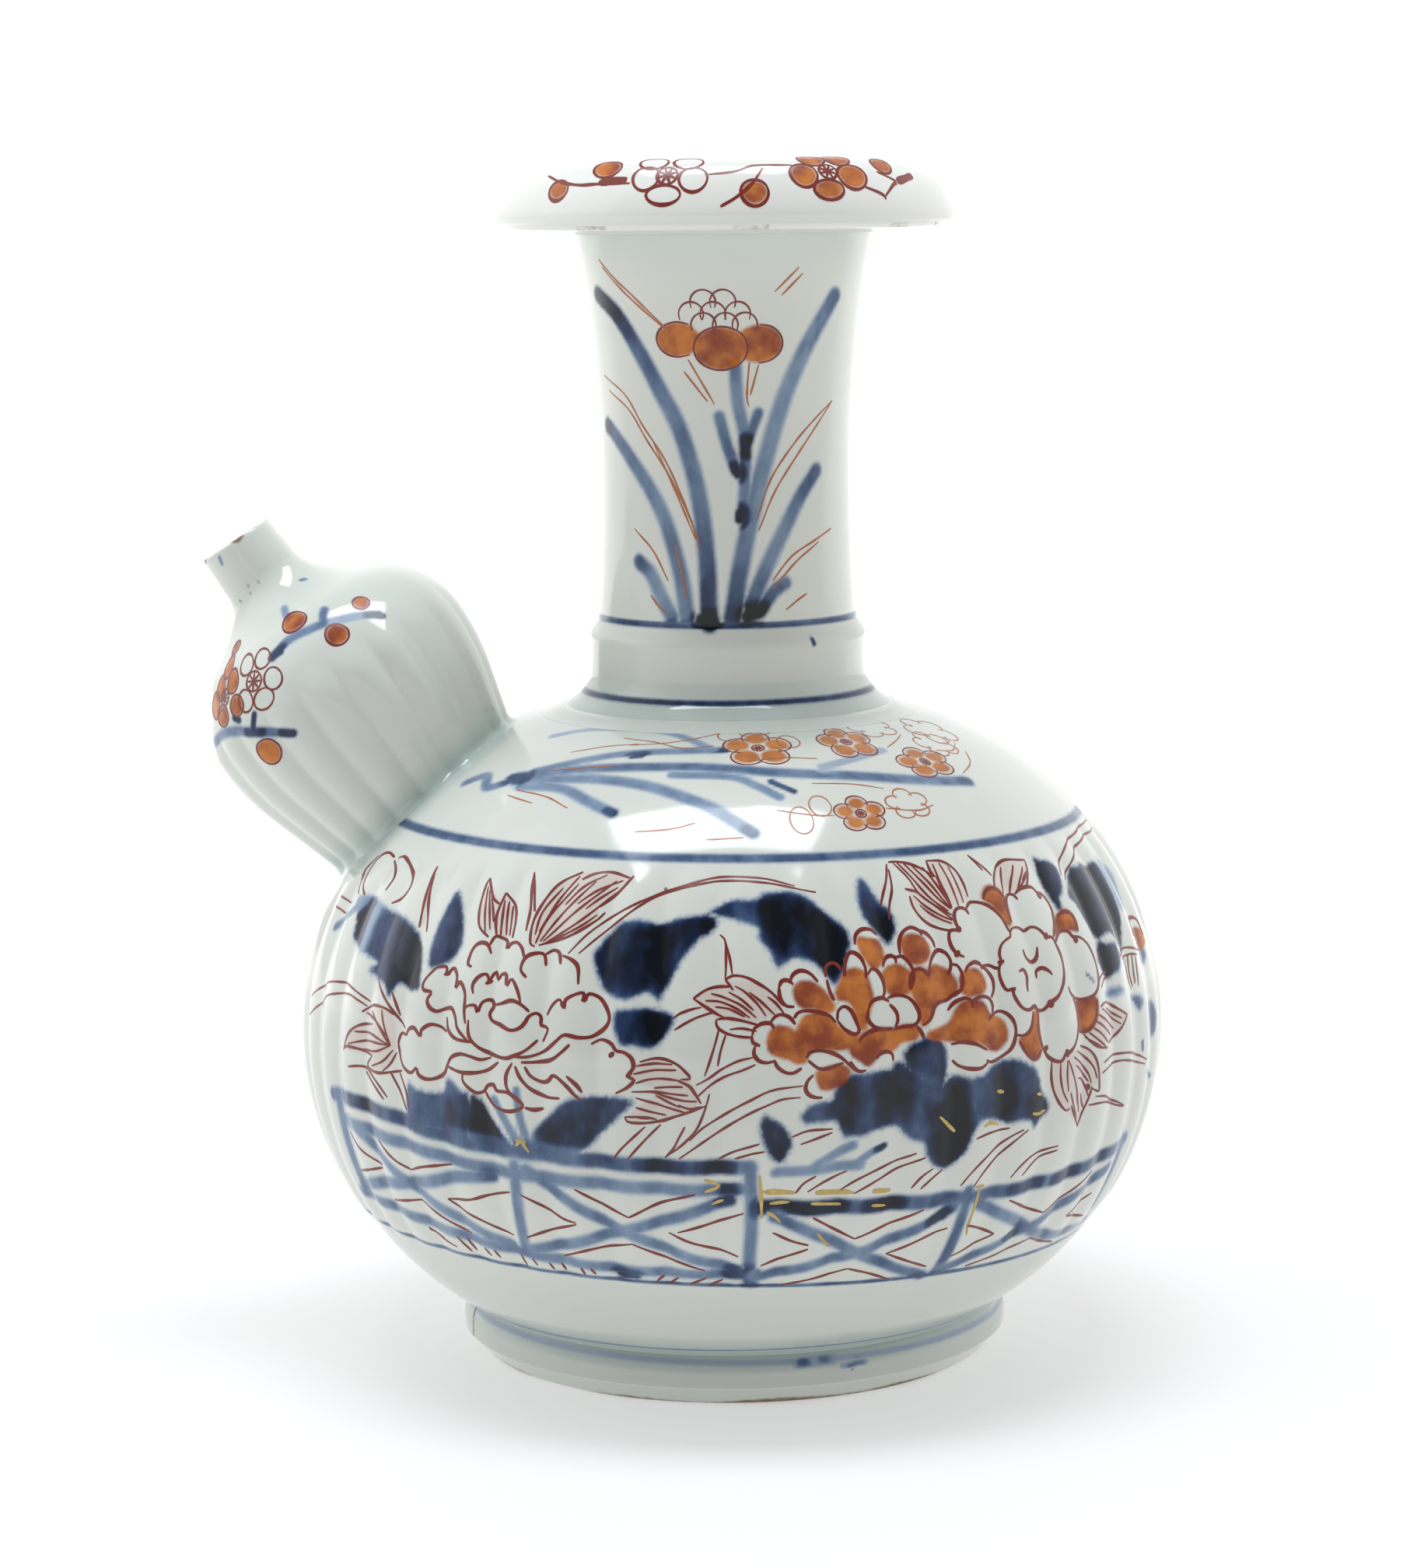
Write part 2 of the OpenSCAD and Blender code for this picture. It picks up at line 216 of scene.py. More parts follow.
def glazed_porcelain():
    """Clear glaze over white porcelain. It turns greenish and darker where it pools, and the same tint
    is laid into joints, grooves and undersides as painted shade. It shows the cobalt painted under it
    and the orange enamel laid over it, and leaves the bare edges brown."""
    made, tree, out = empty_material("glazed_porcelain")
    white = blended(tree, clouds(tree, 35.0), (0.645, 0.66, 0.605, 1), (0.69, 0.705, 0.65, 1))
    # Whiter where marked, on the mouth flange: thin glaze, and painted light on the lit flange.
    white = blended(tree, stored(tree, "thin_glaze_and_light"), white, (0.8, 0.8, 0.76, 1))
    # Greenish and darker where marked: glaze that pools, and painted shade in joints, grooves and under
    # overhangs.
    white = blended(tree, stored(tree, "pool_and_shade"), white, (0.46, 0.55, 0.52, 1))

    wander = sums(tree, "SUBTRACT", clouds(tree, 1100.0, 3.0), 0.5)
    feather = scaled(tree, stored(tree, "feather"), 0.42, 0.18)
    rough_edge = sums(tree, "ADD", stored(tree, "cobalt"), sums(tree, "MULTIPLY", wander, feather))
    edge = ramped(tree, rough_edge, 0.12, 0.76)
    streak = scaled(tree, clouds(tree, 330.0, 4.0, (1, 1, 0.55)), 0.7)
    drift = scaled(tree, clouds(tree, 110.0), 0.5)
    wash = sums(tree, "ADD", sums(tree, "ADD", streak, drift), 0.4)
    inner = scaled(tree, ramped(tree, stored(tree, "cobalt"), 0.3, 1.0), 0.42, 0.58)
    depth = sums(tree, "MULTIPLY", sums(tree, "MULTIPLY", stored(tree, "tone"), wash), inner)
    cobalt = spread_colours(tree, depth, (
        (0.0, (0.42, 0.47, 0.56, 1)),
        (0.3, (0.25, 0.335, 0.45, 1)),
        (0.45, (0.125, 0.187, 0.29, 1)),
        (0.56, (0.06, 0.103, 0.195, 1)),
        (0.7, (0.022, 0.042, 0.108, 1)),
        (0.84, (0.008, 0.016, 0.042, 1)),
        (1.0, (0.003, 0.005, 0.009, 1)),
    ))
    painted = blended(tree, edge, white, cobalt)

    orange_edge = sums(tree, "ADD", stored(tree, "orange"), scaled(tree, wander, 0.15))
    orange_share = ramped(tree, orange_edge, 0.3, 0.75)
    patches = ramped(tree, clouds(tree, 260.0, 3.0), 0.3, 0.7)
    orange = blended(tree, patches, (0.24, 0.029, 0.0, 1), (0.56, 0.165, 0.016, 1))
    orange = blended(tree, stored(tree, "amber"), orange, (0.56, 0.215, 0.045, 1))
    blush = scaled(tree, ramped(tree, stored(tree, "blush"), 0.35, 0.7), 0.2)
    painted = blended(tree, blush, painted, (0.5, 0.13, 0.09, 1))
    painted = blended(tree, scaled(tree, orange_share, 0.95), painted, orange)

    bare_edge = sums(tree, "ADD", stored(tree, "bare"), scaled(tree, wander, 0.34))
    bare_share = ramped(tree, bare_edge, 0.4, 0.7)
    clay = blended(tree, clouds(tree, 500.0, 4.0), (0.05, 0.03, 0.018, 1), (0.4, 0.3, 0.19, 1))
    painted = blended(tree, bare_share, painted, clay)

    place = tree.nodes.new("ShaderNodeTexCoord")
    cells = add(tree, "ShaderNodeTexVoronoi", Vector=place.outputs["Object"], Scale=95.0)
    near = sums(tree, "LESS_THAN", cells.outputs["Distance"], 0.03)
    lot = add(tree, "ShaderNodeSeparateColor", Color=cells.outputs["Color"]).outputs[0]
    rare = sums(tree, "GREATER_THAN", lot, 0.9)
    speck = scaled(tree, sums(tree, "MULTIPLY", near, rare), 0.7)
    painted = blended(tree, speck, painted, (0.03, 0.025, 0.02, 1))

    rough = scaled(tree, orange_share, 0.12, 0.1)
    rough = sums(tree, "ADD", rough, scaled(tree, bare_share, 0.55))
    gloss = sums(tree, "SUBTRACT", 0.5, scaled(tree, orange_share, 0.3))
    gloss = sums(tree, "SUBTRACT", gloss, scaled(tree, edge, 0.16))
    ripple = add(tree, "ShaderNodeBump", Height=clouds(tree, 70.0), Strength=0.06, Distance=0.002)
    coat(tree, out, Base_Color=painted, Roughness=rough, IOR=1.5, Specular_IOR_Level=gloss,
         Normal=ripple.outputs[0])
    return made


glaze = glazed_porcelain()
foot_columns = 480
foot_top = 8.8
floor_under = 9.6
bulge_r = 8
bulge = np.radians(np.linspace(-8, 31.6, 26))
foot_loop = np.vstack([
    trace([(40.2, 0), (43.9, 0)], 0.4),
    trace([(44.2, 0.15), (46.9, 3.1)], 0.3),
    np.stack([39.6 + bulge_r * np.cos(bulge), 4.6 + bulge_r * np.sin(bulge)], -1),
    trace([(46.0, foot_top), (38.6, foot_top)], 1.0),
    trace([(38.6, 8.6), (39.9, 0.3)], 0.8),
])
foot_ring = piece("foot_ring", [turned(foot_loop, foot_columns)], glaze)
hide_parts("foot_ring")
x, y, z = points_of(foot_ring).T
round_foot = azimuth_of(x, y)
worn = 0.45 + 0.3 * np.sin(np.radians(3 * round_foot + 40)) + 0.25 * np.sin(np.radians(11 * round_foot))
crack_azimuth = -73
crack = 0.8 - np.abs(round_foot - crack_azimuth + 0.8 * np.sin(z)) * 0.5
mark(foot_ring, "bare", np.maximum(0.5 + (worn - z) * 0.45, np.where(z > 1.6, crack, 0)))
# Greenish and darker towards the top of the foot, under the body: pooled glaze and painted shade.
mark(foot_ring, "pool_and_shade", 0.25 + ease(z, 5.6, 8.0) * 0.75)


# Slip under the body, in the groove where the foot ring is luted on. The glaze runs into the groove
# and stands there as a greenish line, painted darker as shade in the groove.
foot_lute_corners = [
    (38.5, foot_top), (46.5, foot_top), (46.5, floor_under), (38.5, floor_under), (38.5, 8.9),
]
foot_lute_rings = turned(trace(foot_lute_corners, 0.8), foot_columns)
foot_lute = piece("foot_lute", [foot_lute_rings], glaze)
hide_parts("foot_lute")
mark(foot_lute, "pool_and_shade", 1.0)


# Lower half of the body, pressed in a ribbed mould, with the pot's floor. Its side is an arc, and
# convex ribs run up it with narrow valleys between them.
BODY_COLUMNS = 720
ARC_CENTRE = 18.9
SIDE_R = 55.4
INSIDE_R = 50.4
BELLY_Z = 57
RIB_COUNT = 48
RIB_H = 0.65
RIB_SUNK = 0.1
RIB_FOOT = 24.5
RIB_TOP = 94
RIB_FADE = 5
SPOUT_CLEAR = 22.3
SEAM = 0.414
INSIDE_SEAM = 0.455
SPOUT_AXIS = np.array([-0.573576, 0.0, 0.819152])
SPOUT_FOOT = np.array([-23.486, 0.0, 53.789])


def rib_shape(wave):
    """A convex rib between narrow valleys: the softened size of a sine, from 0 to 1."""
    return (np.sqrt(wave * wave + 0.02) - 0.1414) / 0.8685


def off_spout(points):
    """Distance in mm of points from the spout's axis."""
    return np.linalg.norm(np.cross(points - SPOUT_FOOT, SPOUT_AXIS), axis=-1)


def body_point(azimuth, rise, lift=0.0):
    """Point of the body's side: r = 18.9 + (55.4 + lift) cos(rise) and z = 57 + (55.4 + lift)
    sin(rise), with 48 ribs 0.65 mm high, sunk by 0.1 mm, that fade at both ends and at the spout."""
    a = np.radians(azimuth)
    r = ARC_CENTRE + (SIDE_R + lift) * np.cos(np.radians(rise))
    z = BELLY_Z + (SIDE_R + lift) * np.sin(np.radians(rise)) + 0 * a
    away = off_spout(np.stack([r * np.sin(a), -r * np.cos(a), z], -1))
    fade = ease(z - RIB_FOOT, 0, RIB_FADE) * ease(RIB_TOP - z, 0, RIB_FADE)
    fade = fade * ease(away - SPOUT_CLEAR, 0, RIB_FADE)
    ribs = rib_shape(np.sin(np.radians((azimuth + 2.0) * RIB_COUNT / 2)))
    r = r + (RIB_H * ribs - RIB_SUNK) * fade
    return np.stack([r * np.sin(a), -r * np.cos(a), z], -1)


def body_rings(low, high, rows):
    """The ribbed skin of the body between two rises, as rings."""
    round_body = np.arange(BODY_COLUMNS) * 360.0 / BODY_COLUMNS
    azimuth, rise = np.meshgrid(round_body, np.linspace(low, high, rows))
    return body_point(azimuth, rise)


def inside_rings(low, high, rows):
    """The plain inside of the body between two rises, as rings."""
    rise = np.radians(np.linspace(low, high, rows))
    section = np.stack([ARC_CENTRE + INSIDE_R * np.cos(rise), BELLY_Z + INSIDE_R * np.sin(rise)], -1)
    return turned(section, BODY_COLUMNS)


floor_inside = 15.6
lower_rings = np.vstack([
    turned(trace([(0.4, floor_under), (47, floor_under)], 12), BODY_COLUMNS),
    body_rings(-58.82, -SEAM, 106),
    inside_rings(-INSIDE_SEAM, -55.2, 18),
    turned(trace([(40, floor_inside), (0.4, floor_inside)], 14), BODY_COLUMNS),
])
lower_body = piece("lower_body", [lower_rings], glaze, capped=True)
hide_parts("lower_body")
x, y, z = points_of(lower_body).T
# Greenish and darker towards the foot: glaze pooled low on the body, and painted shade on the underside.
mark(lower_body, "pool_and_shade", 0.2 * ease(-z, -32, -18) + 0.45 * ease(-z, -15, -10))


# Slip ring at the belly, where the two halves of the body are joined and wiped flush. The ribs run
# on across it, so that the seam doesn't show outside.
belly_inside = turned([(69.3, 57.4), (69.3, 56.6)], BODY_COLUMNS)
belly_rings = np.vstack([body_rings(-SEAM, SEAM, 2), belly_inside])
belly_lute = piece("belly_lute", [belly_rings], glaze)
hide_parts("belly_lute")


# Upper half of the body, from the same ribbed mould. Its ribs end under the smooth shoulder, where
# the neck stands on it, and round the hole under the spout.
neck_seat = 111.526
upper_rings = np.vstack([
    body_rings(SEAM, 79.8, 112),
    turned(trace([(26, neck_seat), (17.5, neck_seat)], 3), BODY_COLUMNS),
    inside_rings(90.0, INSIDE_SEAM, 16),
])
upper_body = piece("upper_body", [upper_rings], glaze)
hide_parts("upper_body")
places = points_of(upper_body)
x, y, z = places.T
# Greenish and darker round the neck's foot and under the spout: pooled glaze and painted shade in the
# corners.
at_spout = 0.6 * ease(-off_spout(places), -26.5, -22.5) * (x < 0)
mark(upper_body, "pool_and_shade", np.maximum(0.5 * ease(z, 108, 111), at_spout))


# Slip ring under the neck, drawn out over the shoulder with a wet finger so that no step shows. It
# thins out towards the painted blossoms.
NECK_FOOT = 112.326
neck_lute_loop = np.vstack([
    trace([(17.5, neck_seat), (28.5, neck_seat)], 1.0),
    [(30, 111.0), (32.4, 110.6), (32.4, 110.76), (31.6, 111.0), (30.6, 111.4), (29.6, 111.87)],
    trace([(28.7, NECK_FOOT), (28, NECK_FOOT), (17.5, NECK_FOOT)], 1.0),
])
neck_lute = piece("neck_lute", [turned(neck_lute_loop, 360)], glaze)
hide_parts("neck_lute")
# Tinted darker all over: pooled glaze and painted shade at the neck's foot.
mark(neck_lute, "pool_and_shade", 0.4)


# Neck: thrown, with a flared base and a collar, then a waisted grip that opens towards the mouth.
# Glaze pools on the collar and under the flange, and both places are painted darker as shade.
NECK_COLUMNS = 400
NECK_TOP = 192.526
MOUTH_R = 16.5
WAIST_H = 38
COLLAR_R = 23.9


def neck_sharp(h):
    """Radius of the neck at a height above its base: a concave flare, a straight collar, a short
    slope, and a waist between an arc of radius 330 below it and one of 224.6 above."""
    flare = 30.304 - np.sqrt(np.maximum(6.404**2 - (np.clip(h, 0, 6.2) - 6.2) ** 2, 0))
    low = 351.6 - np.sqrt(330.0**2 - np.minimum(h - WAIST_H, 0) ** 2)
    high = 246.205 - np.sqrt(224.605**2 - np.maximum(h - WAIST_H, 0) ** 2)
    slope = np.clip(COLLAR_R - (h - 12.6) * 1.15, 0, COLLAR_R)
    return np.where(h < 6.2, flare, np.maximum(np.where(h < WAIST_H, low, high), slope))


def neck_radius(z):
    """The neck's radius with its corners softened, as a mean over 2 mm of height."""
    return np.mean([neck_sharp(np.clip(z - NECK_FOOT + d, 0, 80.2)) for d in np.linspace(-1, 1, 11)], 0)


def neck_point(azimuth, z, lift=0.0):
    """Point of the neck's side at an azimuth and a height."""
    a = np.radians(azimuth)
    r = neck_radius(z) + lift
    return np.stack([r * np.sin(a), -r * np.cos(a), z + 0 * a], -1)


neck_z = np.linspace(NECK_FOOT, NECK_TOP, 160)
neck_loop = np.vstack([
    np.stack([neck_radius(neck_z), neck_z], -1),
    trace([(22, NECK_TOP), (MOUTH_R, NECK_TOP)], 3),
    trace([(MOUTH_R, 185), (MOUTH_R, 115)], 8),
    trace([(MOUTH_R, NECK_FOOT), (25, NECK_FOOT)], 4),
])
neck = piece("neck", [turned(neck_loop, NECK_COLUMNS)], glaze)
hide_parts("neck")
x, y, z = points_of(neck).T
mark(neck, "pool_and_shade", np.maximum(0.75 * ease(-z, -121, -113), 0.35 * ease(z, 183, 192)))


# Slip ring under the mouth flange, wiped flush inside and out. Only a hairline of it shows, in the
# corner between the neck and the flange.
FLANGE_FOOT = 193.326
rim_lute_corners = [
    (MOUTH_R, NECK_TOP), (25.5, NECK_TOP), (25.5, FLANGE_FOOT), (MOUTH_R, FLANGE_FOOT), (MOUTH_R, 192.6),
]
rim_lute_rings = turned(trace(rim_lute_corners, 1.0), NECK_COLUMNS)
rim_lute = piece("rim_lute", [rim_lute_rings], glaze)
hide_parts("rim_lute")


# Mouth flange: thrown, with a flat underside, a rounded edge, a drooping side, a flat top and a
# round lip at the mouth. The glaze on it is thin, and worn through in places at the edge. It is
# painted whiter all over: partly thin glaze, partly painted light where the flange is lit from above.
FLANGE_R = 39.2
FLANGE_TAPER = 7.7
FLANGE_EDGE = 195.926
FLANGE_RISE = 9
FLANGE_TOP = 204.926


def flange_section(share, lift=0.0):
    """Radius and height of the flange's side: r = 39.2 - 7.7 t^1.3 and z = 195.926 + 9 (1 -
    (1 - t)^2.2), where the share t runs from the edge up to the flat top."""
    t = np.clip(share, 0, 1)
    slope_r = FLANGE_TAPER * 1.3 * np.maximum(t, 0.02) ** 0.3
    slope_z = 19.8 * np.maximum(1 - t, 0.02) ** 1.2
    size = np.hypot(slope_r, slope_z)
    r = FLANGE_R - FLANGE_TAPER * t**1.3 + lift * slope_z / size
    return r, FLANGE_EDGE + FLANGE_RISE * (1 - (1 - t) ** 2.2) + lift * slope_r / size


def flange_point(azimuth, share, lift=0.0):
    """Point of the flange's side at an azimuth and a share of the way up it."""
    a = np.radians(azimuth)
    r, z = flange_section(share, lift)
    return np.stack([r * np.sin(a), -r * np.cos(a), z + 0 * a], -1)


under_r = 1.2
under = np.radians(np.linspace(-90, 0, 10))
lip_r = 2.5
lip = np.radians(np.linspace(90, 180, 12))
flange_loop = np.vstack([
    trace([(16.7, FLANGE_FOOT), (37.5, FLANGE_FOOT)], 2.5),
    np.stack([38 + under_r * np.cos(under), 194.526 + under_r * np.sin(under)], -1),
    trace([(FLANGE_R, 194.8), (FLANGE_R, 195.6)], 0.4),
    np.stack(flange_section(np.linspace(0, 1, 60)), -1),
    trace([(31, FLANGE_TOP), (19.4, FLANGE_TOP)], 1.5),
    np.stack([19 + lip_r * np.cos(lip), 202.426 + lip_r * np.sin(lip)], -1),
    trace([(MOUTH_R, 201), (MOUTH_R, 194)], 2.5),
])
mouth_flange = piece("mouth_flange", [turned(flange_loop, 480)], glaze)
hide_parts("mouth_flange")
x, y, z = points_of(mouth_flange).T
round_lip = azimuth_of(x, y)
at_edge = (z < 194.3) & (x * x + y * y > 38**2)
edge_wear = np.sin(np.radians(5 * round_lip + 70)) * np.sin(np.radians(13 * round_lip)) > 0.45
# Whiter all over: thin glaze, and painted light from above.
mark(mouth_flange, "thin_glaze_and_light", 0.8)
mark(mouth_flange, "bare", np.where(at_edge, 0.34 + 0.16 * edge_wear, 0))


# Spout bulb: pressed in a ribbed mould in the shape of a breast, hollow, cut to sit on the shoulder.
# Its glaze is thick, and fills the ribs on the side that faces the neck.
SPOUT_SIDE = np.array([0.819152, 0.0, 0.573576])
BULB_COLUMNS = 504
SHOULDER_ALONG = 55.1
BULB_WIDEST = 75.716
BULB_TOP = 91.106
BULB_WALL = 4.2
CROWN_R = 16.5
CONE_TOP = 63.647
FLARE_TOP = 99.73
LUTE_H = 0.8


def spout_place(angle, radius, along):
    """Point at an angle and a radius round the spout's axis, some way along it: angle 0 faces the
    viewer, and 90 the neck."""
    a = np.radians(angle)[..., None]
    out = np.sin(a) * SPOUT_SIDE - np.cos(a) * np.array([0.0, 1.0, 0.0])
    return SPOUT_FOOT + np.asarray(radius)[..., None] * out + np.asarray(along)[..., None] * SPOUT_AXIS


def spout_radius(along, wall=0.0):
    """Radius of the spout along its axis: a cone that opens upward, an arc of radius 42 up to the
    widest ring at 75.7, one of radius 16.5 over the crown, and a hollow flare into the nozzle."""
    h = along - BULB_WIDEST
    cone = 22.98 - wall - 0.3 * (CONE_TOP - along)
    low = np.sqrt(np.maximum(42**2 - h * h, 0)) - 17.25 - wall
    crown = np.sqrt(np.maximum((CROWN_R - wall) ** 2 - h * h, 0)) + 8.25
    flare = 7 + 8.95 * (np.clip(FLARE_TOP - along, 0, 9.42) / 9.42) ** 2
    high = np.where((along > 90.31) & (wall == 0), flare, crown)
    return np.where(along < CONE_TOP, cone, np.where(h < 0, low, high))


def ribbed_radius(angle, along):
    """The spout's radius with its ribs: 21 convex ribs, 0.65 mm high, that fade under the crown and,
    where the glaze fills them, on the side that faces the neck."""
    filled = 1 - 0.7 * ease(np.sin(np.radians(angle)), 0.45, 0.9)
    ribs = rib_shape(np.sin(np.radians((angle - 94.3) * 10.5)))
    return spout_radius(along) + RIB_H * ribs * ease(83.0 - along, 0, 6) * filled


def bulb_point(angle, height, lift=0.0):
    """Point of the spout's skin at a height above the shoulder, lifted square to its slope."""
    along = SHOULDER_ALONG + height
    slope = (spout_radius(along + 0.05) - spout_radius(along - 0.05)) / 0.1
    size = np.hypot(1, slope)
    return spout_place(angle, ribbed_radius(angle, along) + lift / size, along - lift * slope / size)


def off_shoulder(points):
    """Height in mm of points above the body's plain skin."""
    out = np.hypot(points[:, 0], points[:, 1])
    return np.hypot(out - ARC_CENTRE, points[:, 2] - BELLY_Z) - SIDE_R


def seat_of(angle, reach, above):
    """How far along the spout a wall meets the shoulder raised by some height, found by halving an
    interval. The reach gives the wall's distance from the spout's axis."""
    low = np.full(len(angle), 36.0)
    high = np.full(len(angle), 68.0)
    for _ in range(40):
        middle = (low + high) / 2
        inside = off_shoulder(spout_place(angle, reach(middle), middle)) < above
        low = np.where(inside, middle, low)
        high = np.where(inside, high, middle)
    return low


def same_along(values):
    """One ring for each distance along the spout."""
    return np.repeat(np.asarray(values)[:, None], BULB_COLUMNS, 1)


bulb_angle = np.arange(BULB_COLUMNS) * 360.0 / BULB_COLUMNS
outer_seat = seat_of(bulb_angle, lambda along: ribbed_radius(bulb_angle, along), LUTE_H)
inner_seat = seat_of(bulb_angle, lambda along: spout_radius(along, BULB_WALL), LUTE_H)
crown = BULB_WIDEST + CROWN_R * np.sin(np.radians(np.linspace(0, 62.2, 44)))
crown = np.concatenate([crown, [90.6, 90.85, BULB_TOP]])
inner_crown = BULB_WIDEST + 12.3 * np.sin(np.radians(np.linspace(85, 0, 12)))
outer_share = np.linspace(0, 1, 60, endpoint=False)[:, None]
inner_share = np.linspace(0.1, 1, 12)[:, None]
outer_along = np.vstack([outer_seat + (BULB_WIDEST - outer_seat) * outer_share, same_along(crown)])
inner_along = np.vstack([same_along(inner_crown), BULB_WIDEST + (inner_seat - BULB_WIDEST) * inner_share])
outer_angle = np.repeat(bulb_angle[None], len(outer_along), 0)
inner_angle = np.repeat(bulb_angle[None], len(inner_along), 0)
bulb_rings = np.vstack([
    spout_place(outer_angle, ribbed_radius(outer_angle, outer_along), outer_along),
    spout_place(inner_angle[:1], same_along([BULB_WALL]), same_along([BULB_TOP])),
    spout_place(inner_angle, spout_radius(inner_along, BULB_WALL), inner_along),
])
spout_bulb = piece("spout_bulb", [bulb_rings], glaze)
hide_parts("spout_bulb")
# Greenish and darker towards the shoulder: pooled glaze and painted shade in the corner under the bulb.
mark(spout_bulb, "pool_and_shade", 0.15 + 0.65 * ease(-off_shoulder(points_of(spout_bulb)), -6, -1))


# Slip under the spout, shaped to the shoulder, drawn up round the foot of the bulb as a fillet. The
# glaze pools in it, and it is painted darker as shade in the corner.
FILLET_R = 1.6
HOLE_R = 10.0
HALFWAY_R = 15.0
lute_angle = np.arange(360.0)


def lute_ring(lift, above, radius=0.0):
    """A ring that lies on the shoulder, raised above it: drawn out from the bulb's wall by a lift,
    or at a radius of its own."""
    def reach(along):
        if radius:
            return np.full(len(lute_angle), radius)
        return ribbed_radius(lute_angle, along) + lift
    along = seat_of(lute_angle, reach, above)
    return spout_place(lute_angle, reach(along), along)


bend = np.radians(np.linspace(0, 90, 12))
fillet = [lute_ring(FILLET_R * (1 - np.sin(b)), FILLET_R * (1 - np.cos(b))) for b in bend]
lute_bottom = [
    lute_ring(0, 0, HOLE_R), lute_ring(0, 0, HALFWAY_R), lute_ring(0, -0.1), lute_ring(1.9, -0.15),
]
lute_top = [
    lute_ring(-0.3, 1.8), lute_ring(-0.6, LUTE_H),
    lute_ring(0, LUTE_H, HALFWAY_R), lute_ring(0, LUTE_H, HOLE_R),
]
lute_rings = np.stack(lute_bottom + fillet + lute_top)
spout_lute = piece("spout_lute", [lute_rings], glaze)
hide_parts("spout_lute")
mark(spout_lute, "pool_and_shade", 0.85)


# Slip ring under the nozzle, wiped flush, so that the crown runs up into the nozzle in one curve.
# The bore passes through it.
NOZZLE_FOOT = 91.906
NOZZLE_COLUMNS = 240


def spout_turned(section):
    """Rings of a piece turned about the spout's axis, from radius and distance along it."""
    angle = np.arange(NOZZLE_COLUMNS) * 360.0 / NOZZLE_COLUMNS
    r, along = np.repeat(np.transpose(section)[..., None], NOZZLE_COLUMNS, 2)
    return spout_place(np.repeat(angle[None], len(r), 0), r, along)


nozzle_lute_corners = [
    (4.2, BULB_TOP), (14.51, BULB_TOP), (13.17, NOZZLE_FOOT), (4.2, NOZZLE_FOOT), (4.2, 91.2),
]
nozzle_lute_rings = spout_turned(trace(nozzle_lute_corners, 0.8))
nozzle_lute = piece("nozzle_lute", [nozzle_lute_rings], glaze)
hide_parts("nozzle_lute")
mark(nozzle_lute, "pool_and_shade", 0.15)


# Nozzle: thrown, with a flared base that runs up into a slim tube. Its tip is cut a little aslant,
# worn and chipped.
NOZZLE_TOP = 106.3
nozzle_along = np.concatenate([np.linspace(NOZZLE_FOOT, FLARE_TOP, 34), np.linspace(100.1, 105.8, 17)])
nozzle_side = spout_radius(nozzle_along) - 0.06 * np.maximum(nozzle_along - FLARE_TOP, 0)
nozzle_loop = np.vstack([
    np.stack([nozzle_side, nozzle_along], -1),
    [(6.5, 106.1), (6.3, 106.25), (6.0, NOZZLE_TOP)],
    trace([(5.8, NOZZLE_TOP), (3.6, NOZZLE_TOP)], 0.5),
    trace([(3.25, 106.1), (3.2, 105.7), (3.2, NOZZLE_FOOT), (8, NOZZLE_FOOT)], 2.0),
])
slant = 0.3 - 0.25 * np.sin(np.radians(np.arange(NOZZLE_COLUMNS) * 1.5))
aslant = ease(nozzle_loop[:, 1], 99, 105)[:, None] * slant
nozzle_rings = spout_turned(nozzle_loop) + aslant[..., None] * SPOUT_AXIS
spout_nozzle = piece("spout_nozzle", [nozzle_rings], glaze)
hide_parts("spout_nozzle")


def spout_places(made):
    """Angle of a piece's points round the spout, how far along it they lie and how far out."""
    p = points_of(made) - SPOUT_FOOT
    along = p @ SPOUT_AXIS
    angle = np.degrees(np.arctan2(p @ SPOUT_SIDE, -p[:, 1]))
    return angle, along, np.linalg.norm(p - along[:, None] * SPOUT_AXIS, axis=1)


tip_angle, along, _ = spout_places(spout_nozzle)
from_tip = along - 106.6 + 0.25 * np.sin(np.radians(tip_angle))
chips = 0.2 * np.sin(np.radians(4 * tip_angle + 20)) + 0.2 * np.sin(np.radians(9 * tip_angle))
mark(spout_nozzle, "bare", np.clip(0.4 + chips + (from_tip + 0.25) * 0.5, 0, 1))
mark(spout_nozzle, "pool_and_shade", 0.15)


# Underglaze cobalt on the body: peony leaves in heavy dark washes, and a garden fence below them.
# It was brushed on the raw clay, so it is paler at the edges and darker where it ran into a valley.
# Its strokes are pairs of azimuth and rise, in degrees.
BOTH_SIDES = (0, 180)
BODY_DEGREE = 0.967
SKIN_DEPTH = 0.9
BODY_PIECES = (lower_body, belly_lute, upper_body)


def curve(flat, closed=False):
    """A smooth curve through given points (a Catmull-Rom spline), as points close together."""
    p = np.reshape(np.asarray(flat, float), (-1, 2))
    if closed:
        ends = np.vstack([p[-1], p, p[0], p[1]])
    else:
        ends = np.vstack([2 * p[0] - p[1], p, 2 * p[-1] - p[-2]])
    a, b, c, d = (ends[i:len(ends) - 3 + i] for i in range(4))
    t = np.linspace(0, 1, 5, endpoint=False)[:, None, None]
    square = (2 * a - 5 * b + 4 * c - d) * t**2
    cube = (3 * b - a - 3 * c + d) * t**3
    spread = 0.5 * (2 * b + (c - a) * t + square + cube)
    return np.vstack([spread.transpose(1, 0, 2).reshape(-1, 2), ends[-2] if closed else p[-1]])


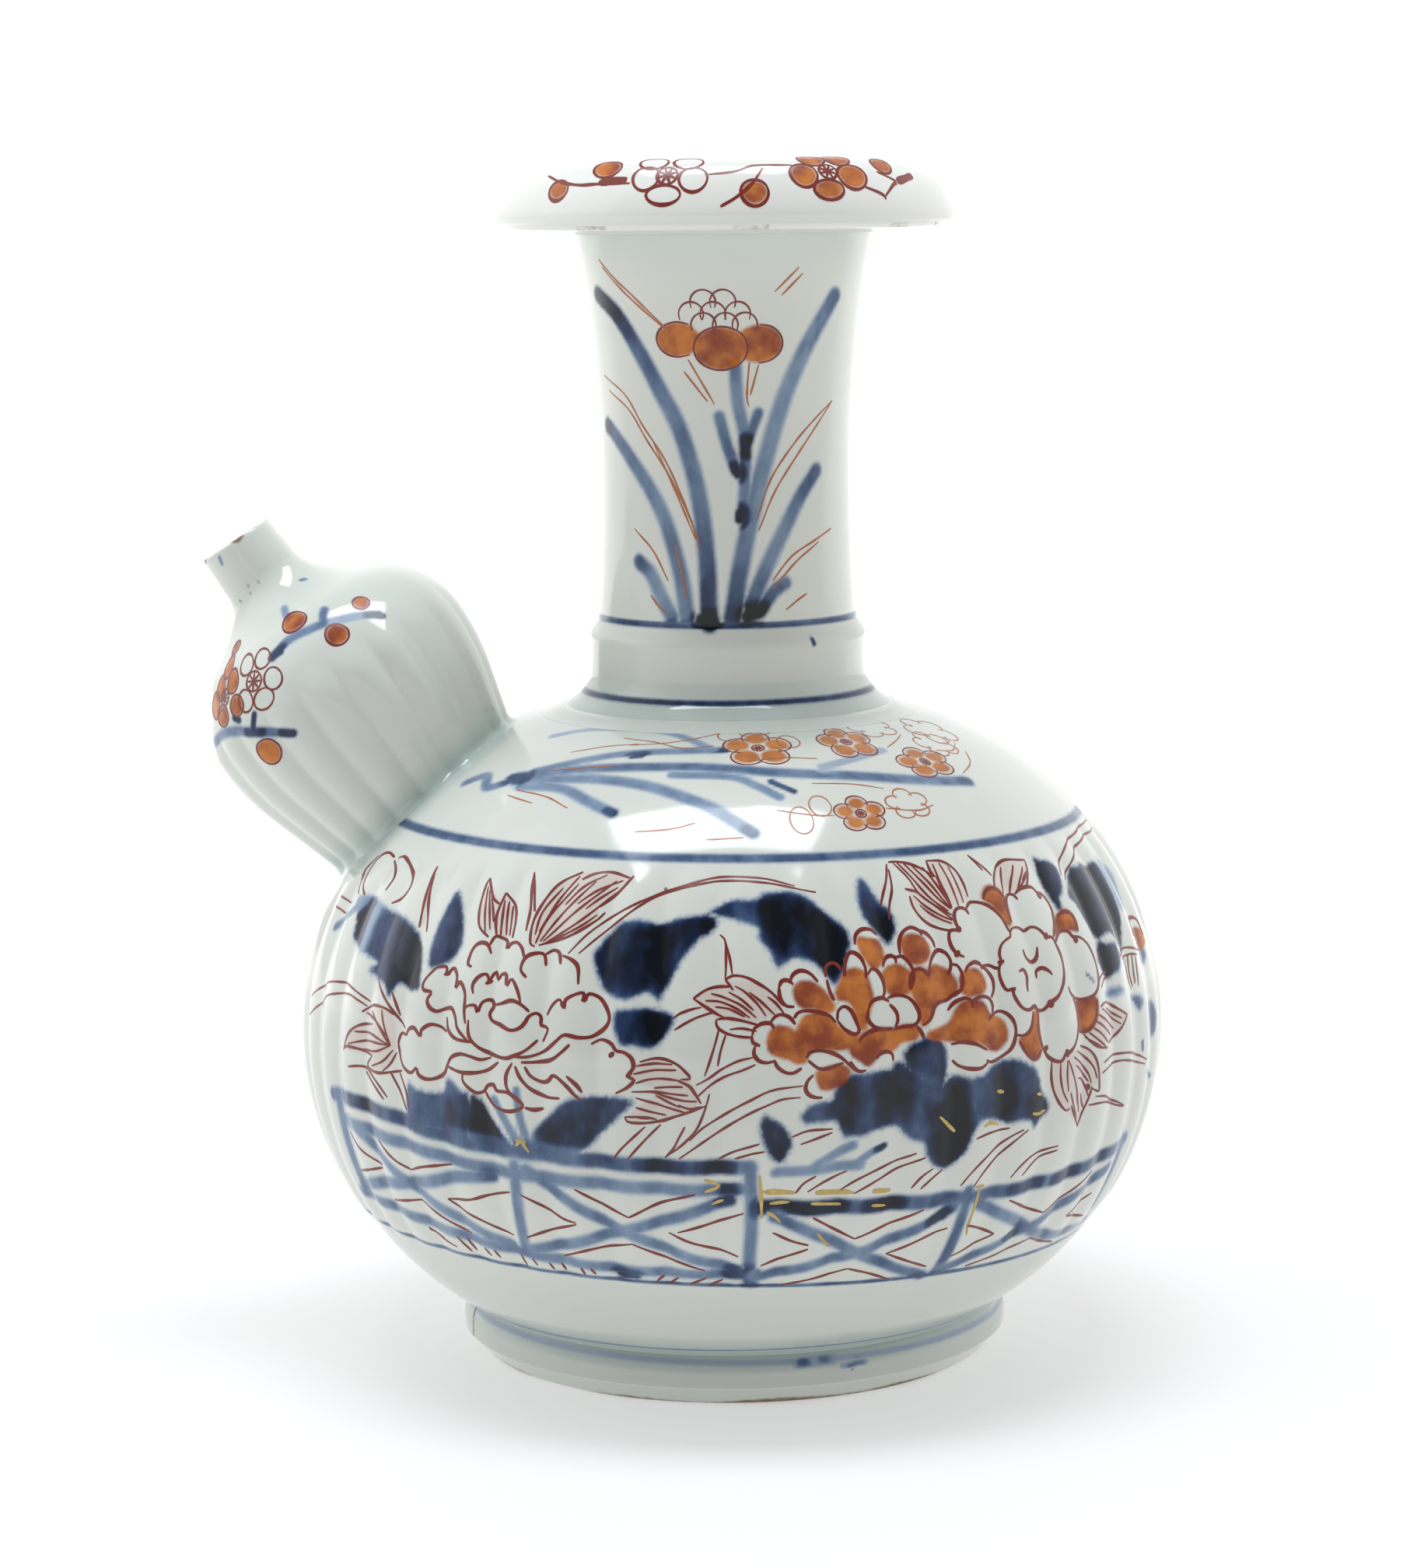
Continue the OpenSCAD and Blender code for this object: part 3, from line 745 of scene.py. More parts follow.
def gap_to(u, v, path, step_u, step_v):
    """Distance in mm from each point to a path, where a step of 1 along u or v is so many mm, and how
    far along the path its nearest point lies, from 0 to 1."""
    x, y = u[:, None] * step_u[:, None], v[:, None] * step_v
    ax, ay = path[None, :-1, 0] * step_u[:, None], path[None, :-1, 1] * step_v
    bx, by = path[None, 1:, 0] * step_u[:, None], path[None, 1:, 1] * step_v
    along = ((x - ax) * (bx - ax) + (y - ay) * (by - ay)) / ((bx - ax) ** 2 + (by - ay) ** 2 + 1e-9)
    along = np.clip(along, 0, 1)
    gaps = np.hypot(x - ax - along * (bx - ax), y - ay - along * (by - ay))
    nearest = gaps.argmin(1)[:, None]
    far = (nearest + np.take_along_axis(along, nearest, 1)) / gaps.shape[1]
    return np.take_along_axis(gaps, nearest, 1)[:, 0], far[:, 0]


def within(u, v, path):
    """Whether each point lies inside a closed path, from how often the path passes to its right."""
    a, b = path[None, :-1], path[None, 1:]
    crosses = (a[..., 1] > v[:, None]) != (b[..., 1] > v[:, None])
    rise = np.where(b[..., 1] == a[..., 1], 1e-9, b[..., 1] - a[..., 1])
    right = u[:, None] < a[..., 0] + (v[:, None] - a[..., 1]) * (b[..., 0] - a[..., 0]) / rise
    return (crosses & right).sum(1) % 2 == 1


def brushed(u, v, step_u, step_v, washes, brushes, turns=(0,)):
    """How far each point lies inside the paint, from 0 to 1 with its edge at 0.5, and how dark the
    paint is there. Washes are a tone and an outline, brushes a width, a tone (or tones spread along the
    path) and a path. All of it is painted once for each turn round the axis."""
    step_u = np.broadcast_to(step_u, len(u))
    cover, tone = np.zeros(len(u)), np.zeros(len(u))
    marks = [(0, t, curve(o, True)) for t, o in washes] + [(w, t, curve(p)) for w, t, p in brushes]
    for turn in turns:
        for width, dark, path in marks:
            middle = (path.min(0) + path.max(0)) / 2
            around = (u - middle[0] - turn + 180) % 360 - 180
            up = v - middle[1]
            reach = (path.max(0) - path.min(0)) / 2 + (width + 2) / np.array([step_u.min(), step_v])
            near = np.flatnonzero((np.abs(around) < reach[0]) & (np.abs(up) < reach[1]))
            if len(near) == 0:
                continue
            local = path - middle
            depth, far = gap_to(around[near], up[near], local, step_u[near], step_v)
            if width:
                depth = width / 2 - depth
                soft = np.clip(0.7 * width, 0.8, 1.8)
                share = ease(depth, -1.4, -0.2)
            else:
                depth = np.where(within(around[near], up[near], local), depth, -depth)
                soft = 2.0
                share = ease(depth, -1.8, 0.7)
            cover[near] = np.maximum(cover[near], np.clip(0.5 + depth / soft, 0, 1))
            darkness = np.interp(far, np.linspace(0, 1, np.size(dark)), np.atleast_1d(dark))
            tone[near] += (darkness - tone[near]) * share
    return cover, tone


def body_places(made):
    """Where a piece's points lie on the body: azimuth and rise, with the mm in a degree of each, and
    whether the points belong to the outer skin."""
    points = points_of(made)
    x, y, z = points.T
    out = np.hypot(x, y)
    rise = np.degrees(np.arctan2(z - BELLY_Z, out - ARC_CENTRE))
    place = (azimuth_of(x, y), rise, np.maximum(out, 1) * np.pi / 180, BODY_DEGREE)
    return place, off_shoulder(points) > -SKIN_DEPTH


leaf_washes = [
    (0.74, (-66.1, 28, -61.3, 29.2, -56.3, 27.9, -52.2, 27.4, -49.1, 26.1, -46.9, 24.2, -45.4, 21.7,
     -44.7, 19, -44.4, 15.8, -46.7, 15.4, -48.5, 16.1, -50, 13.3, -51.4, 15.2, -54.1, 16, -56.1, 17,
     -55, 18.6, -59.1, 19.6, -63, 21.1, -63.8, 24.3)),
    (1.0, (-51.6, 25, -48.2, 24.9, -45.7, 22.1, -44.9, 19.1, -44.7, 16, -47.3, 15.7, -48.9, 16.8,
     -49.8, 14.8, -50.7, 14.9, -51, 18, -52.2, 21.1)),
    (0.95, (-64.8, 27, -61, 27.8, -60, 24.5, -60.8, 22, -62.8, 22.3)),
    (0.25, (-59.6, 27.6, -58, 27.8, -58.6, 20.2, -59.6, 20)),
    (0.8, (-42.5, 33.5, -43.6, 29, -44, 24.5, -43.8, 21, -43, 19.5, -41, 20.5, -39.3, 22.5, -38.8, 25,
     -40, 29)),
    (0.78, (-18.5, 24, -17, 19.5, -15.5, 18, -14, 17.3, -12.5, 17.6, -11.2, 18.6, -10, 18, -9.2, 17.2,
     -8.8, 18.5, -8, 20.5, -7, 23, -6, 25, -4.5, 27.5, -3, 28.7, -2, 30, -2.4, 31.5, -4, 31.9, -6, 31.6,
     -8, 31, -10, 30.4, -12, 30.8, -14, 30.7, -15.5, 30, -17, 28, -18, 26)),
    (1.0, (-13.8, 19.5, -12.5, 19.5, -10.5, 20.5, -9, 19.5, -7.8, 22.5, -5.5, 26.5, -3.2, 29.5, -5, 30.6,
     -8, 29.8, -11, 29, -13.2, 28.5, -14, 24)),
    (0.8, (-15, 13.5, -14.8, 15.5, -13, 16, -10.5, 16.2, -8, 15.5, -7.3, 14.5, -7.8, 13, -8.5, 11.5,
     -9.5, 10, -11, 9.5, -12.5, 10, -14, 10, -14.8, 12)),
    (1.0, (-11.8, 14.8, -8.6, 14.2, -9.2, 11.8, -11.5, 10.8, -12.6, 12)),
    (0.72, (-3.2, 32.4, -2, 33.5, 0, 34.5, 2, 34.5, 3.5, 34.8, 4.5, 35.8, 7, 36, 9, 35.6, 10.8, 34.5,
     12, 33, 13, 32, 14.5, 30, 15.5, 28.5, 15.7, 26, 15, 24.3, 14.6, 22.3, 13.8, 20.3, 12.9, 19.5, 12, 21,
     11, 22.5, 10, 23.5, 8, 24, 7, 23.5, 6, 22.5, 5.3, 23.5, 5, 25, 4, 26.5, 3.3, 28, 3.5, 29.3, 2, 30,
     0, 31, -2, 31.8)),
    (1.0, (4.5, 33.2, 7, 34.5, 9, 34, 11, 32.8, 13, 30.5, 14.8, 28, 14.8, 25.5, 13.6, 22.6, 12.6, 21.8,
     11.4, 23.8, 9.5, 25, 6.5, 25.2, 5.2, 27.5, 4.8, 30)),
    (0.72, (18.5, 37.6, 17.8, 35, 17.7, 32.5, 18, 30.5, 18.8, 29, 20, 27, 21, 25.5, 21.8, 26.5, 22.6, 29,
     22.2, 31.5, 21, 33.5, 20.2, 36, 19.5, 37.5)),
    (0.92, (20, 31, 21.8, 30.5, 22, 28.6, 21, 26.6, 19.8, 28.6)),
    (0.95, (51.8, 37.3, 51.2, 35.5, 50.6, 33, 50.8, 30.5, 51.2, 28.5, 51.8, 27, 52.5, 27.6, 52.8, 29,
     54, 30, 55, 31.5, 55.8, 33.5, 55.6, 35, 54.2, 36.2, 52.8, 36.6)),
    (0.95, (55, 29, 56, 30.5, 57.5, 32, 59.5, 33.8, 61.5, 33.6, 63.5, 33.9, 65, 33, 68, 33.2, 69.3, 31,
     68.8, 26, 68, 22.5, 67, 20.5, 66, 18.5, 65, 16.7, 63.9, 18.4, 62.5, 20.6, 60.5, 20.9, 59, 20.4,
     58, 21.5, 56.8, 25, 56, 27.5)),
    (0.3, (69.5, 32.8, 72, 32.5, 73.5, 31.5, 74, 29, 73.3, 26, 72.5, 23, 70.5, 23.5, 69, 24)),
    (0.95, (57, 17.5, 57.3, 15.5, 58.5, 13.5, 60, 14, 61.5, 14.2, 63, 15.5, 63.6, 17, 62.7, 18.9,
     60.5, 19.4, 58.5, 20)),
    (0.92, (21.3, 7.5, 22, 8.8, 23.5, 9.6, 25, 10, 26.5, 9.3, 27.2, 7.5, 27.2, 5, 27, 3, 26.3, 1, 25, 1,
     24, 2.5, 22.5, 3.8, 21.5, 5.5)),
    (0.72, (8, -1.5, 8.6, -2.8, 10.5, -2.8, 12.3, -2.8, 13, -4.5, 13.5, -5.6, 15.5, -5.6, 17, -4.8,
     18.5, -4.5, 20, -4.3, 21, -5.5, 22.3, -7, 23.8, -7.7, 24.2, -9.5, 25, -11.3, 26.3, -12.5, 27.5, -13,
     29, -11.8, 30.3, -9.8, 31, -7.2, 31.8, -5.5, 32, -4, 31, -2, 31.5, 0, 31, 1.7, 29.5, 2.8, 28, 3.2,
     27, 2.5, 26, 1.5, 24.5, 1, 23, 2, 22, 3.3, 20.5, 4.8, 19, 5.3, 17.5, 5.2, 16, 5, 14.5, 5, 13.3, 4,
     12.3, 2.5, 12, 1, 10.5, 0.8, 9, 0.2)),
    (0.92, (12.9, 3.2, 14.2, 4, 15, 1, 14.6, -2.5, 13.5, -3.5, 13, 0)),
    (0.92, (18, 4.2, 20, 3.8, 21.3, 1.8, 21.2, -2, 19.8, -3.4, 18, -3.2, 17.6, 0.5)),
    (1.05, (25, 0, 27, 1.2, 29, 1.4, 30.2, -1, 30.4, -5, 29.6, -9, 27.6, -11.8, 25.8, -10.5, 24.9, -6.5,
     24.7, -2.5)),
    (0.78, (32.2, -2, 32.2, 1, 33, 3.3, 34.8, 4.3, 37, 4.4, 39, 3.6, 40.8, 2, 41.6, 0, 42, -2, 43.3, -4,
     43.6, -5.8, 42.6, -6.6, 41.5, -7.5, 40.8, -8.3, 40, -6.8, 38.5, -6.4, 36.5, -6.6, 35, -5.8,
     33.5, -5.2, 32, -4.5)),
    (0.98, (33.2, -1, 34.8, 1.5, 37, 0, 37.2, -3.5, 35.3, -4.2, 33.5, -3.5)),
    (0.7, (30.6, 2, 32, 2.6, 33.6, 2.6, 34, -1, 33.6, -4.6, 31.8, -5, 30.7, -4)),
    (1.0, (40.2, -3, 42.2, -3.2, 42.9, -5.6, 41, -6.8, 40.3, -5.5)),
    (0.95, (3.6, -1, 3, -3, 3.3, -5.5, 4, -7.8, 5, -9.2, 5.7, -9.7, 6.5, -8, 7, -6, 6.5, -4, 5.4, -2.5,
     4.4, -1.6)),
    (0.6, (-45.2, -0.2, -43.3, -0.7, -40.7, -0.9, -38.9, -0.2, -38.4, 1.9, -36.9, 1.5, -35.7, 0.2,
     -34.5, -0.3, -35, -8.5, -37.5, -8.5, -40, -7.6, -42.8, -7.4, -45.6, -7.6)),
    (0.85, (-37.8, -1.5, -34.9, -0.6, -35, -6.6, -37.4, -7.1, -38.3, -5)),
    (1.0, (-34.5, -0.5, -32.9, -0.9, -31.8, -3, -30, -5.8, -28.3, -8.3, -31.1, -9.7, -33.4, -9.1,
     -35.3, -8.1)),
    (0.78, (-12.3, 1.2, -16, 1.6, -20.5, 0.8, -23.5, -2.5, -26, -6, -25.8, -9, -22, -9.8, -19, -8,
     -16, -4.2, -13.5, -1)),
    (0.95, (-20, -2, -17, -2.6, -19, -6.2, -23, -9, -25, -8.4, -23, -5)),
    (0.45, (57, 11.6, 60, 11.9, 62, 11.2, 62, 10.4, 59.5, 10.2, 57, 10.4)),
    (0.6, (64.2, 9.2, 66, 9, 68, 8.4, 68.6, 7, 67, 5.9, 66, 7)),
    (0.5, (71, 5.5, 74, 6, 75.6, 3.4, 74.8, 0, 72.5, -0.2, 71.3, 2.5)),
    (0.45, (70.6, 15.4, 74, 15.6, 75, 13.8, 73, 12.4, 71, 13)),
]
leaf_brushes = [
    (2.6, 0.74, (20.6, 5.0, 22.2, 3.3, 23.8, 1.8, 25.8, 1.0)),
    (1.6, 0.4, (-71, 21.5, -68.5, 23.6, -66, 25.5, -64, 28)),
    (1.4, 0.42, (-27.6, 1.5, -27.2, -3, -26.2, -8)), (1.6, 0.4, (-31, -0.5, -29, -4.5, -27.2, -8.5)),
    (1.8, 0.36, (5, -11.2, 9, -10.8, 15.5, -10.4)), (1.6, 0.36, (10, -10, 12.5, -8.3, 14.6, -6.9)),
    (1.3, 0.36, (15.2, -10, 16.8, -8.4, 18.3, -7.6)), (1.2, 0.85, (18.3, -7.6, 18.6, -7.4)),
    (0.7, 0.7, (53, 15.6, 54.2, 14)), (1.0, 0.5, (67.4, 0.4, 67.5, -1)),
    (1.0, 0.4, (70, -5.6, 71.8, -6.3, 74, -7.6)),
]
fence_brushes = [
    (2.7, 0.58, (-64, -6.5, -58, -6, -54, -6.2, -50, -6.5, -46, -7, -42, -7.8, -36, -8.5, -30, -9,
     -24, -9.2, -18, -9.5, -12, -9.8, -6, -10, 0, -10, 1.8, -10)),
    (2, 0.8, (-58, -6, -54.5, -6.1)), (1.8, 0.85, (-11.5, -9.9, -6, -10, -1, -10.1)),
    (2.4, 0.42, (-62, -10.6, -56, -10.5, -50, -11, -44, -11.5, -38, -12.2, -32, -12.8, -26, -13.2,
     -20, -13.4, -14, -13.7, -8, -14, -2, -14, 0.6, -13.8)),
    (2.3, 0.36, (-62.8, -6, -62.9, -14, -62.7, -25)),
    (2.4, 0.42, (-64, -25, -58, -25.2, -52, -25.8, -46, -26.6, -40, -27.7, -34, -28.6, -29, -29.3,
     -24, -30, -18, -30.6, -12, -31, -6, -31.3, 0, -31.5)),
    (2.2, 0.45, (-28.6, -11.5, -29, -18, -29.4, -23, -29.8, -28.8)),
    (2.3, 0.4, (-60, -10, -56, -12.5, -52, -16, -48, -19, -44, -21.5, -40, -24, -36, -26, -32, -28)),
    (2.4, 0.42, (-63, -23.5, -58, -21.5, -52, -19.8, -47, -18.5, -42, -16.8, -37, -15, -32.5, -14.3)),
    (1.9, 0.56, (-33.2, -14.5, -32.2, -14.4)),
    (2.2, 0.45, (-27, -12, -24, -15, -20, -18.5, -16, -21.5, -12, -24, -8, -26.5, -4, -28.5, 0, -30)),
    (2.3, 0.45, (-29, -28, -24, -26.5, -19, -24.3, -14, -22, -9, -20, -4, -17.5, -0.7, -16)),
    (1.7, 0.75, (-1.4, -16.1, -0.8, -15.9)), (1.8, 0.78, (-0.6, -13.7, 0, -13.7)),
    (2.2, 0.5, (1.8, -10, 2, -16, 2, -22, 1.8, -28, 1.9, -33)), (2.6, 0.95, (1.9, -32.6, 2.1, -33.6)),
    (1.7, 0.75, (-16.2, -32, -14, -32.3)), (3.2, 0.7, (0.2, -31, 2.5, -31.4)),
    (3, 0.85, (3.4, -17.4, 8, -17.7, 13.5, -18)),
    (2.9, 0.6, (13, -18, 20, -18.2, 26, -18.6, 30.5, -18.8)), (2.4, 1, (4, -17.4, 7.2, -17.5)),
    (2.4, 1, (9.2, -17.7, 13, -17.9)), (2.2, 0.9, (17.5, -18.3, 21, -18.4)),
    (2.7, 0.52, (31, -18.9, 36, -19, 42, -19, 48, -18.9, 54, -18.5, 60, -17.8, 66, -17)),
    (2.2, 0.75, (39.5, -19, 43.5, -19)), (2.2, 0.75, (47.5, -19, 51.5, -18.8)),
    (2.2, 0.68, (55, -18.4, 59, -18)), (2.2, 0.58, (31.4, -17.5, 31.2, -24, 30.8, -30, 30.5, -34.3)),
    (2.4, 0.8, (30.3, -34.6, 31.2, -34.2)), (2.2, 0.36, (65.6, -17, 65.5, -24, 65.3, -30.5)),
    (2.3, 0.48, (5, -19.5, 9, -22, 13, -25, 17, -28, 21, -31, 25, -33.5, 28, -35.3)),
    (2.3, 0.48, (3, -32, 8, -30.5, 13, -28.8, 18, -27, 23, -24.5, 27, -22.5, 29.5, -20.5)),
    (2.1, 0.8, (27.2, -22.6, 28.3, -22)),
    (2.3, 0.46, (33.5, -20.5, 37, -23, 41, -25.5, 45, -28.5, 49, -31, 54, -33, 60, -33.8, 66, -34)),
    (2.4, 0.5, (30.5, -34.5, 36, -32.5, 41, -30, 46, -28, 51, -25.5, 56, -23.5, 62, -21)),
    (1.5, 0.8, (41.7, -29, 42.4, -28.8)),
]
turn = np.arange(-180.0, 181.0, 10.0)
ring_brushes = [
    (1.75, 0.54, np.stack([turn, 42.4 - 0.9 * np.sin(np.radians(turn))], -1)),
    (0.95, 0.58, np.stack([turn, -34.3 - 2.6 * np.sin(np.radians(turn))], -1)),
    (0.8, 0.34, np.stack([turn, -57.2 + 0 * turn], -1)),
]


# Cobalt on the shoulder: two sprays of long blades from a knot, under a ring round the neck. The
# cobalt of the whole body is laid on here, a little thinner on the crests of the ribs; that lighter
# band along each crest is also a painted sheen.
shoulder_brushes = [
    (2.6, 0.44, (-47, 57.5, -35, 61.5, -20, 63.5, -5, 63.8, 10, 62, 25, 60, 40, 57, 51, 55)),
    (2.5, 0.36, (-46, 57, -35, 59, -25, 59.5, -15, 58, -5, 54, 0, 50.5, 3.5, 47.5)),
    (2.2, 0.34, (-44, 56, -34, 56.5, -27, 54, -21, 51.5)),
    (2.2, 0.36, (-44, 60, -33, 65, -25, 67.5, -15, 68.8, -2, 69.5)), (1.5, 0.62, (-23, 66.6, -21, 67)),
    (1.5, 0.62, (-3, 69.2, -1, 69.2)), (1.8, 0.32, (-53, 71, -45, 75, -30, 77, -18, 76, -10, 73, -5, 70)),
    (1.8, 0.36, (-12, 61.5, 0, 61, 5, 58.5, 9, 55.5)), (1.3, 0.6, (8, 59.5, 12, 56.8)),
    (1.7, 0.14, (20, 63, 30, 65, 38, 66.5)), (2.1, 0.36, (-60, 54.5, -56, 57, -52, 54.5, -48, 56.5)),
    (2.8, 0.56, (-48, 57.6, -45.5, 58.4)), (1.3, 0.62, (50, 55.3, 51.5, 54.9)),
    (1.3, 0.62, (2.8, 48, 3.8, 47.3)), (1.2, 0.62, (-21.6, 51.8, -20.6, 51.3)),
]
for made in BODY_PIECES:
    place, outside = body_places(made)
    azimuth, rise = place[:2]
    cover, tone = brushed(*place, leaf_washes, leaf_brushes + fence_brushes, BOTH_SIDES)
    more, dark = brushed(*place, (), shoulder_brushes, BOTH_SIDES)
    band, blue = brushed(*place, (), ring_brushes)
    leaves, _ = brushed(*place, leaf_washes, (), BOTH_SIDES)
    # Lighter cobalt along each rib's crest: thinner paint, and a painted sheen of the ribs.
    crest_thin_and_sheen = ease(-np.cos(np.radians(RIB_COUNT * (azimuth + 2.0))), -0.5, 0.5) * (np.abs(rise) < 40)
    mark(made, "feather", ease(leaves, 0.05, 0.3))
    mark(made, "cobalt", np.maximum(np.maximum(cover, more), band) * outside)
    mark(made, "tone", np.maximum(np.maximum(tone, dark), blue) * (1.07 - 0.15 * crest_thin_and_sheen))


# Cobalt on the neck: an iris with blades that bend outward, between a line at the collar and one at
# the base. The foot ring carries one pale line, with blue specks above and below it. These strokes
# are pairs of azimuth in degrees and height in mm.
GRIP_R = 22.3
neck_brushes = [
    (3.1, (0.8, 0.51, 0.45, 0.45, 0.49, 0.57, 0.85, 0.9), (-8, 128, -9.5, 140, -13, 150, -20.5, 160,
     -30, 167, -40.5, 174, -51, 179.5, -62.5, 182.5)),
    (2.9, (0.5, 0.42, 0.43, 0.45, 0.55, 0.9), (-18, 129, -21, 136, -28.5, 145, -38, 151, -50, 156,
     -61, 159.5, -66, 160.5)),
    (2.7, (0.48, 0.4, 0.42, 0.61), (-25, 129, -30, 132, -36, 136, -43, 138)),
    (3.1, (0.75, 0.45, 0.4, 0.39, 0.41, 0.47, 0.55), (2, 129, 6, 138, 11.5, 147, 18, 156, 26.5, 166,
     36.5, 174, 46.5, 180, 50, 182)),
    (2.7, (0.7, 0.43, 0.41, 0.47, 0.57), (10, 131, 17, 137, 25.5, 143, 35, 149, 44, 153)),
    (2.4, (0.75, 0.45, 0.45), (14, 130, 20, 133, 26, 134.5)),
    (2.2, 0.48, (4, 171, 5, 165, 8, 159, 8, 152, 7, 146)), (2.0, 0.48, (-3, 162.5, 0, 158, 4, 153.5)),
    (1.9, 0.48, (14, 163, 11.5, 160.5, 9, 158)), (1.7, 0.95, (8.6, 158.0, 8.4, 156.9)),
    (1.5, 0.95, (4.2, 153.6, 4.8, 152.8)), (1.7, 0.95, (5.6, 146.5, 5.5, 145.4)),
    (2.3, 1.1, (-11.5, 128.6, -6.5, 128.6)), (2.4, 1.1, (8.5, 129.2, 13.5, 129.8)),
    (0.9, 0.8, (36.6, 124.9, 37.2, 124.1)),
]
line_brushes = [
    (1.1, 0.62, np.stack([turn, 127.6 + 0 * turn], -1)),
    (0.95, 0.76, np.stack([turn, 114.9 + 0 * turn], -1)),
]
x, y, z = points_of(neck).T
place = (azimuth_of(x, y), z, GRIP_R * np.pi / 180, 1.0)
cover, tone = brushed(*place, (), neck_brushes, BOTH_SIDES)
more, dark = brushed(*place, (), line_brushes)
neck_outside = np.hypot(x, y) > 18
mark(neck, "cobalt", np.maximum(cover, more) * neck_outside)
mark(neck, "tone", np.maximum(tone, dark))
foot_brushes = [
    (0.9, 0.14, np.stack([turn, 7.7 - 0.5 * np.sin(np.radians(turn))], -1)),
    (1.6, 0.2, (12.5, 7.3, 20, 7.5)), (1.0, 0.1, (22, 6.2, 27, 6.4)), (0.35, 0.5, (13.5, 7.4, 14.0, 7.3)),
    (0.3, 0.5, (18, 7.8, 18.4, 7.7)), (0.35, 0.6, (23.8, 5.5, 24.1, 5.4)),
    (0.3, 0.4, (25.2, 6.4, 25.7, 6.2)),
]
x, y, z = points_of(foot_ring).T
cover, tone = brushed(azimuth_of(x, y), z, 0.8, 1.0, (), foot_brushes)
mark(foot_ring, "cobalt", cover * (np.hypot(x, y) > 43))
mark(foot_ring, "tone", tone)


# Cobalt on the spout: two branches with dark knots round the bulb, and a few specks that fell on the
# nozzle and the slip under it. Its strokes are pairs of an angle round the spout and a height.
SPOUT_PIECES = (spout_bulb, nozzle_lute, spout_nozzle)


def spout_skin(made):
    """Where a piece's points lie on the spout: angle and height, with the mm in a step of each, and
    whether the points belong to the outer skin."""
    angle, along, reach = spout_places(made)
    place = (angle, along - SHOULDER_ALONG, np.maximum(reach, 8) * np.pi / 180, 1.2)
    return place, reach > spout_radius(along) - 1


spout_brushes = [
    (1.7, 0.42, (-11, 32, 0, 32.7, 10, 32.2, 18, 31.5, 25, 30.5, 33, 29, 39, 27.3)),
    (1.5, 0.85, (37, 27.9, 39.5, 26.8)), (1.3, 0.75, (-12, 32, -6, 31.9)),
    (1.4, 0.42, (19, 32, 21.5, 32.8, 24, 33.3)),
    (2.0, 0.42, (-66, 25.6, -58, 26, -50, 26, -42, 25, -33, 23.5, -27, 22, -20, 20.2)),
    (1.8, 0.85, (-21, 20.4, -18.5, 19.8)), (1.7, 0.8, (-35.5, 23.9, -32, 23.2)),
    (1.3, 0.7, (-33.5, 24, -30, 26)), (1.4, 0.75, (-42, 27.3, -39.5, 26.6)),
    (0.7, 0.5, (38.5, 39.4, 42.2, 39.1)), (1.3, 0.36, (7.1, 37.2, 5.2, 36)),
    (0.8, 0.36, (-28, 50.6, -29.5, 50.1, -31.5, 49.5)), (0.3, 0.45, (-0.4, 43.5, -0.6, 43.2)),
    (0.35, 0.4, (-15.6, 44, -16, 43.7)), (0.3, 0.4, (-18.7, 42.7, -18.3, 42.5)),
    (0.4, 0.4, (-41.2, 42.7, -37.7, 42.3)),
]
for made in SPOUT_PIECES:
    place, outside = spout_skin(made)
    cover, tone = brushed(*place, (), spout_brushes, BOTH_SIDES)
    mark(made, "cobalt", cover * outside)
    mark(made, "tone", tone)


# Orange enamel, laid over the fired glaze: the petals of the orange peony, the points between the
# white flower's petals, the blossoms on the shoulder, and the buds on neck, spout and flange.
FLANGE_DEGREE = 0.64
FLANGE_SIDE = 13.0


def oval(u, v, half_u, half_v):
    """A closed oval outline."""
    a = np.radians(np.arange(0, 360, 30))
    return np.stack([u + half_u * np.cos(a), v + half_v * np.sin(a)], -1)


def ring(u, v, half_u, half_v):
    """The same oval drawn as a line that runs a little past its start."""
    around = oval(u, v, half_u, half_v)
    return np.vstack([around, around[:2]])


def five(u, v, half_u, half_v):
    """Five petals round a point, each a closed oval."""
    petals = []
    for a in np.radians(90 + 72 * np.arange(5)):
        across = u + 0.62 * half_u * np.cos(a)
        up = v + 0.62 * half_v * np.sin(a)
        petals.append(oval(across, up, 0.36 * half_u, 0.36 * half_v))
    return petals


def filled(place, outlines):
    """How far each point lies inside closed outlines, on both sides of the pot."""
    return brushed(*place, [(1, outline) for outline in outlines], (), BOTH_SIDES)[0]


